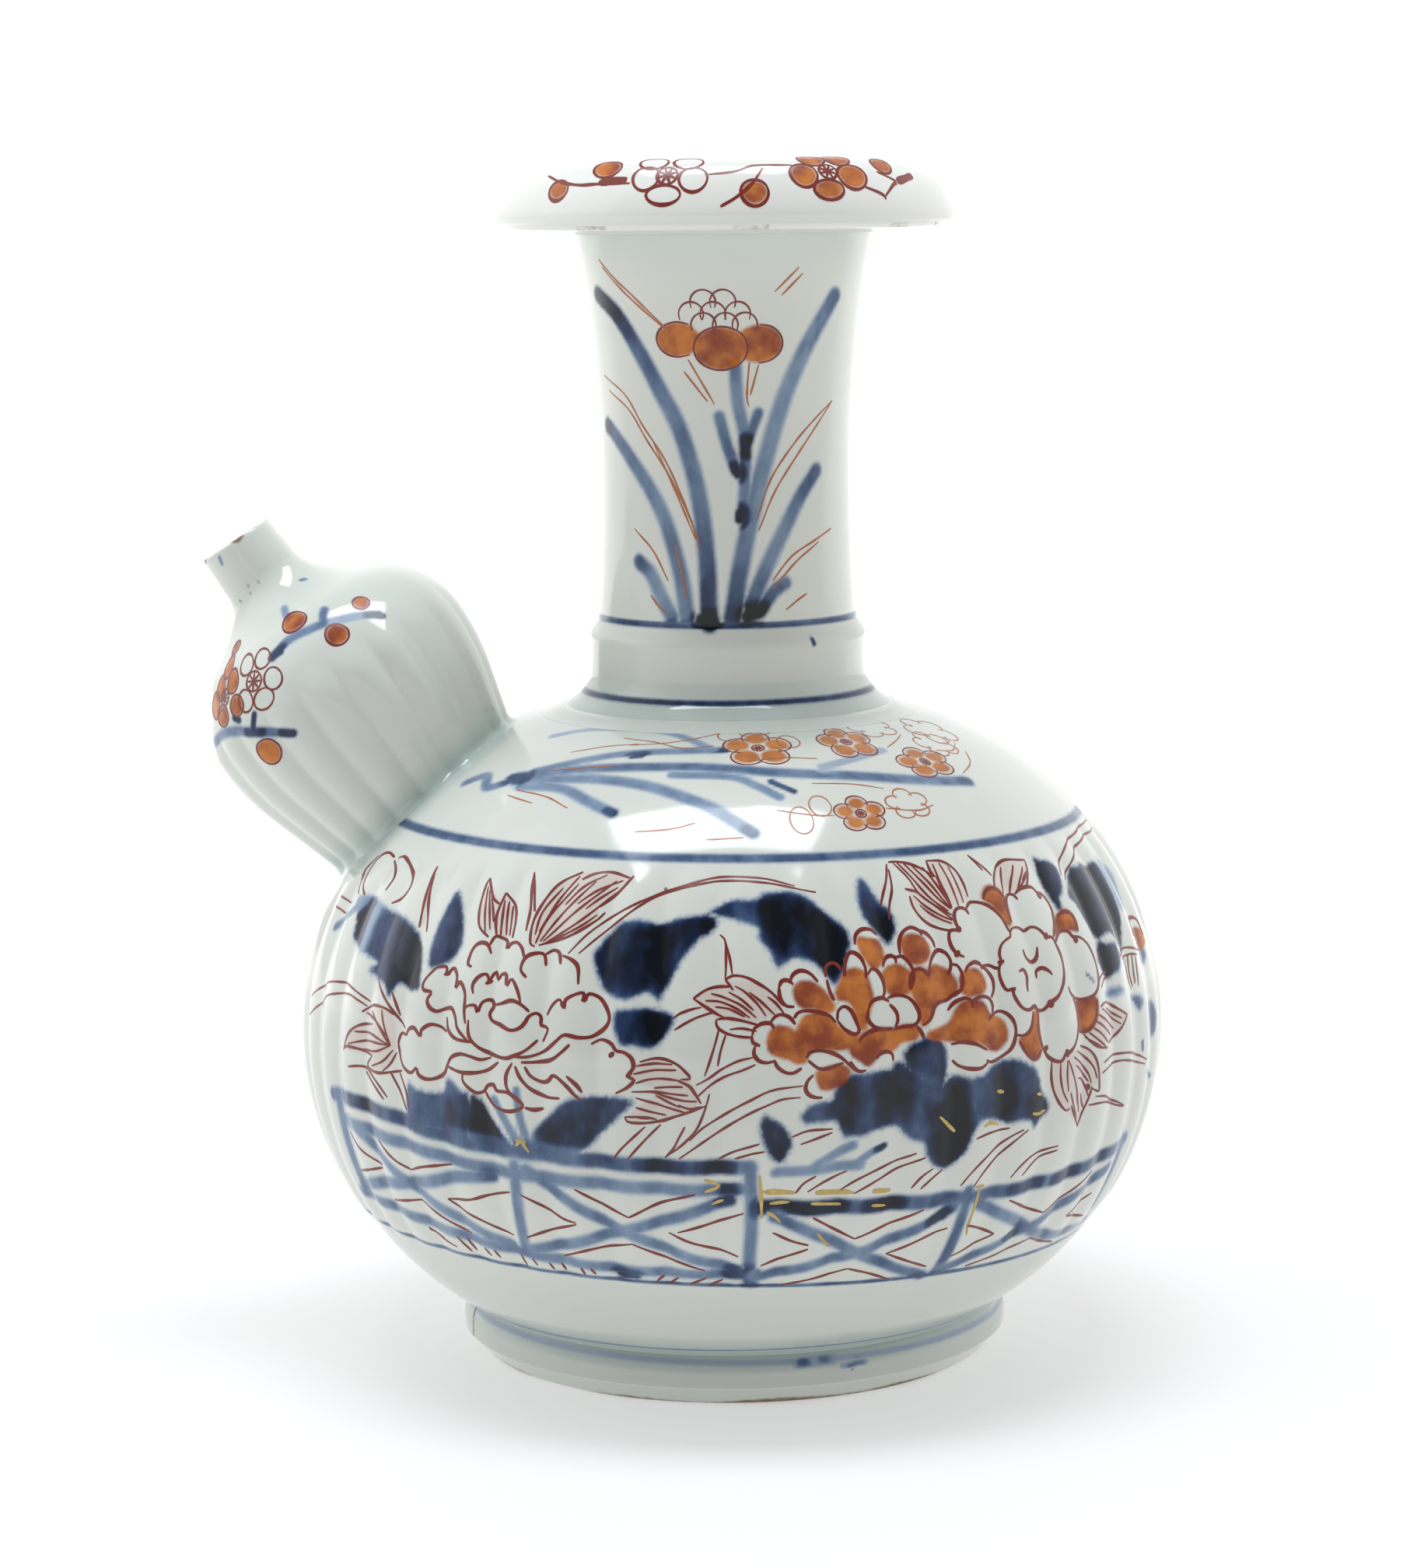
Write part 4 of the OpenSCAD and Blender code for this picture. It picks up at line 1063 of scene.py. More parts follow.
peony_orange = [
    (16.8, 26.8, 18, 26.6, 19.5, 26.2, 19.9, 24, 19.3, 22.5, 18.3, 22, 17.5, 23.5, 17, 25),
    (22.9, 25, 23.3, 26.4, 24.6, 26.7, 26, 26, 26.6, 24.3, 26, 22.8, 24.6, 22, 23.2, 23),
    (7.8, 19, 8.5, 20, 9.8, 20, 11, 19, 12, 17.5, 12.6, 15.8, 11.5, 15.5, 10, 16.2, 8.8, 16.2, 8, 17.2),
    (13.3, 18.5, 14, 20, 14.5, 21.3, 15.6, 21.8, 17, 21, 17.3, 19.5, 17.6, 17, 17, 15, 16.5, 13, 16.2, 12,
     15.6, 13.8, 15.2, 16, 14.5, 17, 13.5, 17.3),
    (19.9, 21.2, 21.5, 22, 22.8, 21, 23.3, 19.3, 22.8, 17.6, 20.4, 17.6, 19.8, 19.5),
    (23, 19.5, 24, 20.8, 25.2, 20.6, 26.2, 20.8, 27, 21.3, 28.5, 20.5, 29.3, 19, 29.6, 17.3, 28.3, 16,
     27, 15.6, 26, 15, 25.4, 13.4, 24.5, 12.3, 24, 12.4, 23.9, 15, 23.3, 17),
    (30.4, 18.6, 31.6, 19.8, 33.2, 19.6, 34, 18, 33.7, 16.4, 32, 15.9, 30.6, 16.4),
    (25, 10.5, 28, 11.5, 29.2, 13.6, 30.5, 14.8, 33, 14.3, 34, 12.2, 36, 10.7, 36.3, 8, 35, 6.5,
     33.5, 6.8, 32, 8.2, 29, 8.8, 27, 9.2, 25, 9.8),
    (4.3, 11, 5, 12.8, 6, 13, 7, 12.5, 7.8, 11.8, 8.3, 13.5, 9, 14.5, 10.5, 14.8, 12, 14, 13, 12.6,
     14, 11.3, 15.3, 10.8, 14.5, 9.5, 13, 9.2, 11, 9.4, 9.5, 9.3, 8.8, 8.6, 8.6, 7.5, 7.6, 7.4, 6.8, 8,
     5.5, 8.5, 4.5, 9.3),
    (15.3, 10.3, 16.5, 11.5, 18, 11.9, 20, 11.6, 22, 12, 23.3, 11.3, 23, 10, 21, 9.7, 20, 8.5, 18.5, 8.5,
     17.4, 7.3, 16.5, 6.3, 15.8, 7, 14.5, 8.5),
    (10.2, 5.5, 11.5, 6, 13, 6.3, 14, 5.5, 13.5, 4, 12.5, 3.2, 11.5, 2.8, 10.5, 3.3),
    (37.7, 31.8, 38.5, 33, 39.5, 33.5, 40.7, 33, 41.5, 31.8, 41.4, 30, 41.2, 28, 40.9, 26.8, 40.3, 26.6,
     39.9, 28, 39.2, 29.8, 38.4, 31),
    (48.6, 23.5, 49.8, 25, 51, 26.2, 52.5, 26.8, 53.6, 26.2, 54, 24.8, 53.6, 23.3, 52.5, 23.6, 51, 24,
     49.8, 23.7),
    (38.3, 7.2, 39.2, 5.2, 40.3, 3.8, 41.5, 4, 42, 5, 41.8, 7, 41.9, 9, 42.1, 11, 41.5, 11.3, 41, 10,
     40.3, 8.3, 39.3, 7.5),
    (49.9, 11.3, 51, 11.4, 52.7, 11.3, 54, 11, 54, 9.4, 53.4, 7.8, 52.4, 6.6, 51, 6.2, 50, 6.8, 49.9, 9),
    (71.5, 18, 72.5, 19, 75, 18.4, 76, 16.5, 74, 15.6, 72, 16.4),
]
shoulder_orange = (
    five(7, 70, 8.6, 5.8) + five(31, 70.4, 7.4, 5.4) + five(45.5, 61.5, 7, 4.2) + five(22.9, 50.7, 4.6, 3.8)
)
leaf_blush = [
    (-27, 25.7, -27.9, 28, -27.2, 33, -25.5, 37, -22.5, 39, -19, 39, -14.8, 38.3, -16.5, 35.5, -18.6, 33,
     -19, 30.4, -22.5, 27.5),
    (-59.5, 2.7, -57, 6.8, -53, 8.2, -55.4, 9.7, -52, 11.3, -48.6, 10.6, -47.8, 6, -48.5, 2, -50.5, 0.8,
     -53.6, 1.2, -52, 3),
    (-37.7, 36, -38, 33, -36.8, 28, -34.5, 26.6, -34.3, 31.6),
    (-33.9, 34, -34.2, 30, -33.2, 26.4, -30.9, 26.8, -31.2, 30),
    (-11.8, 7.2, -8.5, 7.8, -5.6, 5, -4.2, 0.9, -7, -1.2, -12.6, -2.2, -12, 0, -9.4, 2.6, -12.2, 4.6),
    (-1, 20.8, 3, 20.2, 6.1, 16.5, 3, 14, -2, 14.8, -4.8, 18, -2, 19.6),
    (25.8, 33.8, 26.2, 30.4, 31.5, 27.4, 31.7, 31, 30.3, 37.4, 27, 39.6, 24.6, 40, 26.5, 36.5),
    (30.8, 39.6, 34.2, 38.4, 35.3, 34, 35.2, 31.8, 31.9, 31.2, 30.9, 36),
    (40.7, 33.4, 42.8, 36.5, 46, 37.8, 49.5, 37, 46.8, 33, 43, 32),
    (54.8, 9.4, 57.8, 9.2, 61.5, 6.5, 56.3, 3.2, 51.2, 5.6),
    (44.1, 2.4, 44.3, -2.5, 46.6, -6, 50, -9.8, 52, -3.8, 53.4, -3, 52.6, 1.2, 49.6, 3.7),
    (-30.4, 38, -30, 35, -28.9, 29, -28.4, 31.6, -29.3, 35),
    (-49.3, 37, -49.1, 33, -48, 27, -47, 27, -48, 31),
]
for made in BODY_PIECES:
    place, outside = body_places(made)
    rise = place[1]
    cover = filled(place, peony_orange + shoulder_orange)
    mark(made, "orange", (cover + 0.24 * (cover > 0) * (rise < 43)) * outside)
    mark(made, "amber", 0.5 * ease(rise, 43, 46))
    mark(made, "blush", filled(place, leaf_blush) * outside)

neck_orange = [oval(-20, 175.3, 9.8, 2.9), oval(-2, 173.8, 11.4, 3.6), oval(14, 174.5, 10.4, 3.2)]
x, y, z = points_of(neck).T
mark(neck, "orange", filled((azimuth_of(x, y), z, 0.39, 1.0), neck_orange) * neck_outside)

spout_orange = [
    oval(7.5, 34.6, 7.4, 1.35), oval(19.2, 28.8, 4.8, 1.75), oval(-32.8, 19.5, 5.2, 2.2),
    oval(38.3, 30.6, 3.7, 1.1), oval(-44, 36.6, 5.4, 0.6), oval(-39, 32.4, 4.6, 1.5),
    oval(-51, 32.5, 4.8, 1.5), oval(-38.3, 28.8, 4.4, 1.5), oval(-50.6, 28.6, 4.8, 1.5),
    oval(-45.5, 34.6, 5, 1.2), oval(-57, 30.6, 4.6, 1.8),
]
for made in SPOUT_PIECES:
    place, outside = spout_skin(made)
    mark(made, "orange", filled(place, spout_orange) * outside)

flange_orange = [
    oval(-45.5, 0.24, 3.1, 0.105), oval(-32, 0.56, 4, 0.16), oval(7.3, 0.2, 3.2, 0.13),
    oval(46.5, 0.58, 3.1, 0.16), oval(20.5, 0.42, 3.5, 0.17), oval(26.5, 0.22, 3.9, 0.105),
    oval(34.3, 0.39, 4.1, 0.17), oval(24.5, 0.76, 3.8, 0.19), oval(32.5, 0.76, 3.8, 0.19),
]
x, y, z = points_of(mouth_flange).T
share = 1 - np.clip(1 - (z - FLANGE_EDGE) / FLANGE_RISE, 0, 1) ** (1 / 2.2)
on_side = (np.hypot(x, y) > 31.4) * (z > 195.9)
cover = filled((azimuth_of(x, y), share, FLANGE_DEGREE, FLANGE_SIDE), flange_orange)
mark(mouth_flange, "orange", cover * on_side)


# Iron-red lines, drawn over the glaze with a fine brush: the outlines of petals and leaves with
# their hatching, grass, and the open frets of the fence.
RAISED = 0.04
SUNK = -0.08


def line_colour(name, grain, dark, light, **finish):
    """An enamel or a gold for lines, which varies between two colours."""
    made, tree, out = empty_material(name)
    coat(tree, out, Base_Color=blended(tree, clouds(tree, grain), dark, light), **finish)
    return made


def enamel(name, strokes, width, point, steps, material):
    """Lines of enamel on both sides of the pot: each is a flat ribbon along a smooth curve, 0.04 mm
    proud of the glaze and let into it, that thins towards its ends and swells and shrinks a little as a
    brush does. The steps give the mm in a step of u and of v."""
    grids = []
    for turn in BOTH_SIDES:
        for number, flat in enumerate(strokes):
            path = curve(flat)
            scale = np.array(steps(path[:, 1].mean()))
            run = np.concatenate([[0], np.cumsum(np.hypot(*np.diff(path * scale, axis=0).T))])
            even = np.linspace(0, run[-1], max(4, int(run[-1] / 0.45)))
            path = np.stack([np.interp(even, run, path[:, 0]), np.interp(even, run, path[:, 1])], -1)
            ahead = np.gradient(path * scale, axis=0)
            ahead /= np.linalg.norm(ahead, axis=1)[:, None] + 1e-9
            aside = np.stack([ahead[:, 1], -ahead[:, 0]], -1) / scale
            swell = 0.5 + 0.5 * np.sin(np.pi * np.linspace(0, 1, len(even))) ** 0.5
            half = width / 2 * swell * (1 + 0.15 * np.sin(1.3 * even + number))
            corners = []
            for side, lift in ((-1, RAISED), (1, RAISED), (1, SUNK), (-1, SUNK)):
                edge = path + side * half[:, None] * aside
                corners.append(point(edge[:, 0] + turn, edge[:, 1], lift))
            grids.append(np.stack(corners, 1))
    piece(name, grids, material, capped=True)


def body_steps(rise):
    """Length in mm of a degree round the body, and of one up its side."""
    return (ARC_CENTRE + SIDE_R * np.cos(np.radians(rise))) * np.pi / 180, BODY_DEGREE


iron_red = line_colour(
    "iron_red", 600.0, (0.12, 0.014, 0.01, 1), (0.26, 0.038, 0.027, 1), Roughness=0.3, IOR=1.5)
white_peony = [
    (-36, 21, -36.8, 21.5, -36.5, 24, -35.5, 25.2, -34.3, 25, -33.5, 23.5),
    (-34, 25, -33.5, 26.5, -32.5, 26.3, -31.5, 25.8, -31.3, 24.6, -30.8, 25.5, -29.8, 25.9, -28.8, 25,
     -28.2, 23.5),
    (-27.4, 20.2, -28.4, 21.5, -28, 23.5, -26.8, 24.3, -25.5, 24.2, -25, 22.3),
    (-25.3, 24.2, -24.3, 25, -23.3, 24.6, -22.9, 22.8),
    (-22.8, 24.3, -21.3, 23.7, -20.3, 22.5, -20, 19.7),
    (-35, 16.6, -35.3, 18, -34.6, 19.5, -33.5, 20, -33, 18.7),
    (-33, 18.9, -32.3, 20.5, -31.7, 19.2, -31.3, 20.2, -30.5, 20.3, -30.2, 18.5, -29.5, 19.7, -28.4, 18,
     -27.7, 16),
    (-42, 20, -40.5, 20.3, -40.2, 19, -39.3, 20.2, -38.3, 19, -38.2, 17, -37.5, 18.2, -36.3, 16.5,
     -36, 13.5, -35.6, 11.5),
    (-42, 20, -43.6, 17.5, -43.5, 16, -42, 15.8, -42.5, 14.5, -42, 13.3, -40.8, 12.7, -39.5, 13.3,
     -38.3, 13.6, -37.4, 12.3, -36.8, 10.5, -35, 8.7),
    (-36, 13, -35.8, 14.3, -34.5, 14.7, -34, 13.6, -33.5, 15.3, -32.3, 15.8, -31.8, 14.8, -32.3, 13.5,
     -31.8, 12.4, -30.5, 12, -28.8, 11.3, -27.5, 11.8, -26.8, 12.8, -26.4, 13.8, -25.5, 14.4, -24.8, 13.8,
     -24.7, 12.5, -23.7, 12, -24.3, 9.8),
    (-31.8, 15, -30.5, 15.5, -29, 16.2, -27.5, 15.6, -26.4, 14.6),
    (-35.2, 12.2, -35, 10, -34.3, 8.6, -32.5, 7.3, -29.5, 6.6, -28, 7.2, -26.5, 8.2, -25, 10),
    (-24, 14.2, -23.3, 16, -22.3, 17, -21.6, 15.5, -21.5, 17, -20.3, 18, -19.2, 18.3, -19, 17,
     -18.5, 18.2, -17, 17.5, -15.9, 15.7, -15.6, 14, -16.3, 12.5, -17.8, 11.2, -19.5, 11, -21.3, 11.3,
     -22.5, 10, -24, 8.3, -26, 7.2, -28, 7),
    (-47.4, 6, -47.3, 7, -46.8, 8, -45.8, 7.9, -45.4, 8.9, -44.2, 9.4, -42.9, 8.2, -42.8, 9.3,
     -41.5, 10.4, -40, 10.3, -38.8, 9.6),
    (-47.4, 6, -46.6, 3, -45.5, 2, -44.3, 1.8, -43.3, 2.8, -43, 1.8, -41.8, 1.2, -40.3, 1.5, -38.8, 2.6,
     -38.2, 4.2, -37.5, 5.6, -36, 6.4, -34.5, 6.2, -33, 5.8, -31.5, 6.4),
    (-38, 3.9, -36, 3.4, -34, 3.5, -32, 4.2, -30.3, 5.8),
    (-35.5, 3.3, -35.5, 2, -34.5, 0.8, -33.5, 0.2, -32.5, 0.6, -32, 1.6, -31, 1.9, -30.5, 1, -28.8, 1,
     -27.5, 0, -26.7, -1, -27.5, -1.8, -29, -2.2, -30.8, -1.7, -31.8, -0.5, -32.3, 0.5),
    (-28.2, 6, -29, 4, -29, 2, -28.3, 0.8), (-26.5, -1.3, -25.3, -1.6, -24, -1.2),
    (-27.8, 5.5, -27, 3.5, -25.5, 1.7, -23.5, 0.8, -21.7, 0.8),
    (-26.5, 5.5, -25.7, 4, -24.3, 3.2, -23.3, 3.5, -22.5, 4.5, -20.8, 3, -19.7, 1.5, -18.7, 0.6),
    (-27, 6.2, -25, 6.4, -23, 7, -21.5, 8.5, -20.5, 9.8),
    (-17.8, 10, -16.5, 10.8, -15.2, 10.3, -14.5, 9.2, -13.5, 9, -12.5, 8, -12.3, 6.5, -13, 5.2,
     -12.2, 4.5, -13, 3.3, -14.5, 2.2),
    (-39, 12, -38.5, 10, -37, 8.8, -34.5, 8.6), (-20.8, 4.6, -19.5, 3.2, -18.8, 2),
    (-14.9, 8.6, -15.2, 8.2), (-68, 36, -70, 33, -69, 30.5, -66.7, 28.7),
    (-62.4, 36.8, -64.5, 37.4, -66.5, 36.4, -67.5, 33.5, -66.8, 30.8, -64.5, 29),
    (-62, 36.2, -59.5, 35.3, -58.2, 33.5, -58.8, 31),
    (-60.8, 37, -59, 37.6, -56.5, 36.6, -54.3, 34.5, -53.4, 32.5, -54.3, 30.3, -56, 29),
]
orange_peony = [
    (7.2, 20.3, 7.6, 21.6, 8.6, 22.3, 9.8, 21.8, 10.8, 20.3), (5.8, 19.5, 6.2, 20.6, 7, 20.7, 7.6, 20),
    (5.8, 19.5, 5.9, 17.8, 6.6, 16.5, 7.6, 16.4),
    (7.5, 14.5, 8, 15.4, 9, 15.7, 10.5, 15.4, 12, 14.6, 12.8, 13.4),
    (4.6, 14, 5.2, 14.8, 6, 15.1, 7, 14.6, 7.6, 13.5), (2.3, 12, 2.5, 13, 3.5, 13.8, 4.6, 13.7, 5, 12.8),
    (2.2, 12, 2.3, 10.8, 3.2, 10.2), (2.6, 10.2, 2.4, 9, 3, 7.8, 4, 7.4, 5, 7.6),
    (4.9, 7.8, 5.3, 6.6, 6.2, 5.7, 7.2, 5.6, 8.2, 6.4),
    (8.8, 8, 9.3, 8.9, 10.5, 9.1, 12, 8.6, 13.3, 7.6, 14.3, 6.3, 15, 5.4),
    (9, 7.6, 10.3, 6.2, 11.5, 6.1, 12.8, 6.5, 13.5, 6.8),
    (9.6, 5.2, 8.9, 4.3, 8.6, 3, 9, 2, 9.8, 1.5, 10.7, 1.4),
    (16.2, 26.2, 16.5, 27.8, 17.5, 28.7, 18.8, 28.5, 19.6, 27.5),
    (22.3, 24, 22.5, 26, 23.2, 27.6, 24.5, 28.4, 25.8, 27.6, 26, 26.8),
    (25.6, 27.8, 26.8, 27, 27.6, 25.6, 27.7, 24.4),
    (14.4, 21, 14.5, 22.6, 15.2, 24.7, 16, 24.8, 16.8, 23.8, 17.2, 22, 17.1, 20.5),
    (11.9, 21, 12, 22.5, 12.7, 23.2, 13.5, 23, 14, 22), (12, 20.5, 12.3, 18.5, 12.8, 17),
    (17.4, 21, 18, 21.9, 18.8, 21.5, 19.4, 20, 19.5, 18, 19, 16.8),
    (19.7, 22, 20.2, 23.3, 21, 23.8, 21.6, 23.4, 21.6, 22.5),
    (21.6, 23.4, 22.5, 23.6, 23.3, 22.5, 23.7, 21, 23.5, 19.5, 22.9, 18),
    (22.9, 18.5, 23.4, 20.5, 24.3, 21.3, 25.3, 20.9, 25.8, 19.8),
    (26, 20, 26.3, 21.6, 27, 23, 28, 23.9, 29, 23.4, 29.5, 22, 29.2, 20.5, 28.8, 19.8),
    (29.4, 21.3, 30.2, 21.2, 30.7, 19.8, 30.5, 18, 30, 16.8, 29, 16),
    (31.2, 19.8, 31.8, 20.8, 33, 21.3, 34, 20.7, 34, 19.9),
    (34, 20.4, 35, 19.4, 35.6, 17.8, 35.4, 16, 34.8, 15),
    (28, 13.8, 29, 15, 30.5, 15.6, 31.5, 15, 31.4, 13.9),
    (31.5, 15, 33, 15.5, 34.3, 15, 34.8, 13.8, 34.6, 12.5),
    (33.8, 11.5, 34.8, 12.3, 36, 12.5, 37.2, 11.5, 37.8, 9.8, 37.6, 7.8, 36.8, 6, 35.2, 4.9, 33.5, 4.5,
     32.8, 5),
    (28, 5.6, 28.8, 4.6, 30.3, 3.9, 32, 3.8, 33, 4.6), (28, 8.2, 29.5, 8.4, 31.3, 7.9, 33, 6.6),
    (17, 15.5, 17.6, 16.6, 19, 17, 20, 16.2), (17, 15.5, 16.8, 13.8, 17.6, 12.4, 19, 11.9, 20.2, 11.8),
    (19.8, 16.8, 21.2, 17.2, 22.6, 16.6, 23.5, 15, 23.7, 13.4, 23, 12.2, 21.5, 12, 20.4, 11.7),
    (20, 15.8, 20.8, 14.5, 20.9, 13, 20.5, 12),
    (13, 13.8, 13.2, 15.3, 14, 16, 14.8, 15.2, 15.3, 13.5, 15.6, 12, 15, 11.4, 13.8, 12.3, 13, 13.8),
    (24, 12, 25, 12.6, 25.6, 13.7, 26, 14.8, 27, 15.4, 28, 15.5, 29, 16.3, 30, 17),
    (15.5, 10.2, 16.2, 11.2, 17.5, 11.9, 19, 11.8), (23.2, 12, 23.8, 10.8, 24, 9.8),
    (17.6, 7.2, 18, 7.9, 19, 8.2, 19.8, 7.7, 19.9, 6.5), (14.3, 7, 14.8, 5.8, 15.5, 5.3, 16.2, 5.5),
]
white_flower = [
    (40, 24.6, 40.4, 25.6, 41.3, 26, 42.4, 25.7, 43.2, 25, 44.3, 25.5, 45.3, 25.3, 46.1, 24.4, 46.6, 23.5,
     47.8, 23.1, 48.2, 21.8, 48.6, 19.8, 48.5, 17.8, 48, 16, 47.2, 14.6, 46, 13.2, 44.6, 12.4, 43.3, 11.4,
     42.2, 11.6, 41.7, 12.4, 40.4, 12, 39.3, 12.6, 38.6, 13.8, 38.2, 15.3, 38.4, 16, 37.4, 15.8,
     36.9, 16.8, 36.7, 18.5, 37, 20, 37.4, 20.6, 37.4, 22, 38, 23.4, 39, 24.2, 40, 24.6),
    (41.8, 22, 42, 20.6, 42.9, 19.6, 43.9, 20.2, 44.5, 22),
    (43.2, 16.8, 43.3, 17.9, 44.3, 18.4, 45.3, 17.8, 45.8, 17),
    (39.9, 18.6, 40.8, 18.8, 41.2, 17.5, 40.9, 16.2, 40.8, 15),
    (31.8, 27, 31.6, 29, 32.1, 30.4, 33, 30.8, 34, 30.4, 34.4, 29.4),
    (34.2, 30.4, 35.2, 31.3, 36.4, 31.3, 37.7, 30.7, 38.8, 29.5, 39.6, 27.8, 39.9, 26.4, 40.2, 25.4),
    (31.8, 27, 30.5, 27.1, 30, 25.8, 30.1, 24.2, 30.7, 23, 31.6, 22.4),
    (34.2, 20.4, 35.5, 20.3, 36.2, 19.8, 37, 19.5),
    (41.2, 27, 41.3, 29, 41.8, 30.8, 42.6, 31.6, 43.6, 31.6, 44.1, 30.6),
    (44, 31.6, 45.2, 32.4, 46.6, 32.6, 47.8, 32.2, 48.4, 31, 48.8, 30.2),
    (48.3, 31.3, 49.5, 30.6, 50.2, 29.3, 50.4, 27.5, 49.8, 25.6, 48.9, 24, 48, 23),
    (48.3, 22.2, 49.2, 23, 50.6, 23.6, 51.8, 23.4, 52.4, 22.3, 52.8, 21.3),
    (52.6, 22.4, 54, 21.8, 55.2, 20.3, 55.8, 18.2, 55.9, 15.8, 55.4, 13.6, 54.2, 12.2, 52.8, 11.6,
     51.2, 11.6, 49.8, 12.2, 48.9, 13.2, 48.6, 14.4),
    (42.3, 11.6, 42, 9.5, 42, 7.3, 42.5, 5.2, 43.5, 3.3, 44.8, 2.4, 45.7, 2.5, 46.3, 3.5, 47.2, 3.6,
     48.5, 4.6, 49.5, 6.5, 49.9, 8.5, 49.8, 10.5, 49.3, 12.3),
    (37.8, 8.3, 39, 8, 40.2, 8.7, 40.8, 10, 41.2, 11.6),
    (37.6, 31.7, 38.4, 33, 39.6, 33.5, 40.9, 33, 41.6, 31.6),
    (51, 26.3, 52.5, 26.9, 53.8, 26.2, 54.1, 24.6, 53.8, 23),
    (38.2, 7.2, 39, 5.3, 40.2, 3.8, 41.4, 3.9, 42.2, 5),
    (54.2, 11, 53.9, 9.2, 53.2, 7.6, 52, 6.4, 50.6, 6.1, 49.8, 6.5),
    (70.8, 18.4, 71.6, 20.4, 73.6, 21.2, 75.4, 20.2, 76, 17.5),
]
red_blots = [
    (46.3, 23.9, 46.9, 23.3), (44.1, 12.1, 45.1, 12.4), (37.3, 21, 37.4, 20.3), (38.2, 16, 38.5, 15.5),
    (48.3, 31, 48.9, 30), (52.6, 22.2, 52.9, 21.2), (42.8, 5.2, 43.3, 4.6), (46.2, 3.4, 46.9, 3.6),
    (30.4, 23.4, 30.9, 22.7), (31.4, 27.4, 32.2, 27), (-19.1, 17.6, -18.9, 16.9),
    (-21.8, 16.7, -21.7, 15.8), (-15.3, 8.8, -14.9, 8.2), (-13, 5.7, -12.6, 5.2),
    (-33.1, 19, -32.9, 18.4), (-40.2, 19.4, -40.1, 18.8), (51, -3.2, 51.8, -3.8),
]
petal_lines = white_peony + orange_peony + white_flower
enamel("body_outlines", petal_lines, 0.64, body_point, body_steps, iron_red)
enamel("body_blots", red_blots, 1.25, body_point, body_steps, iron_red)

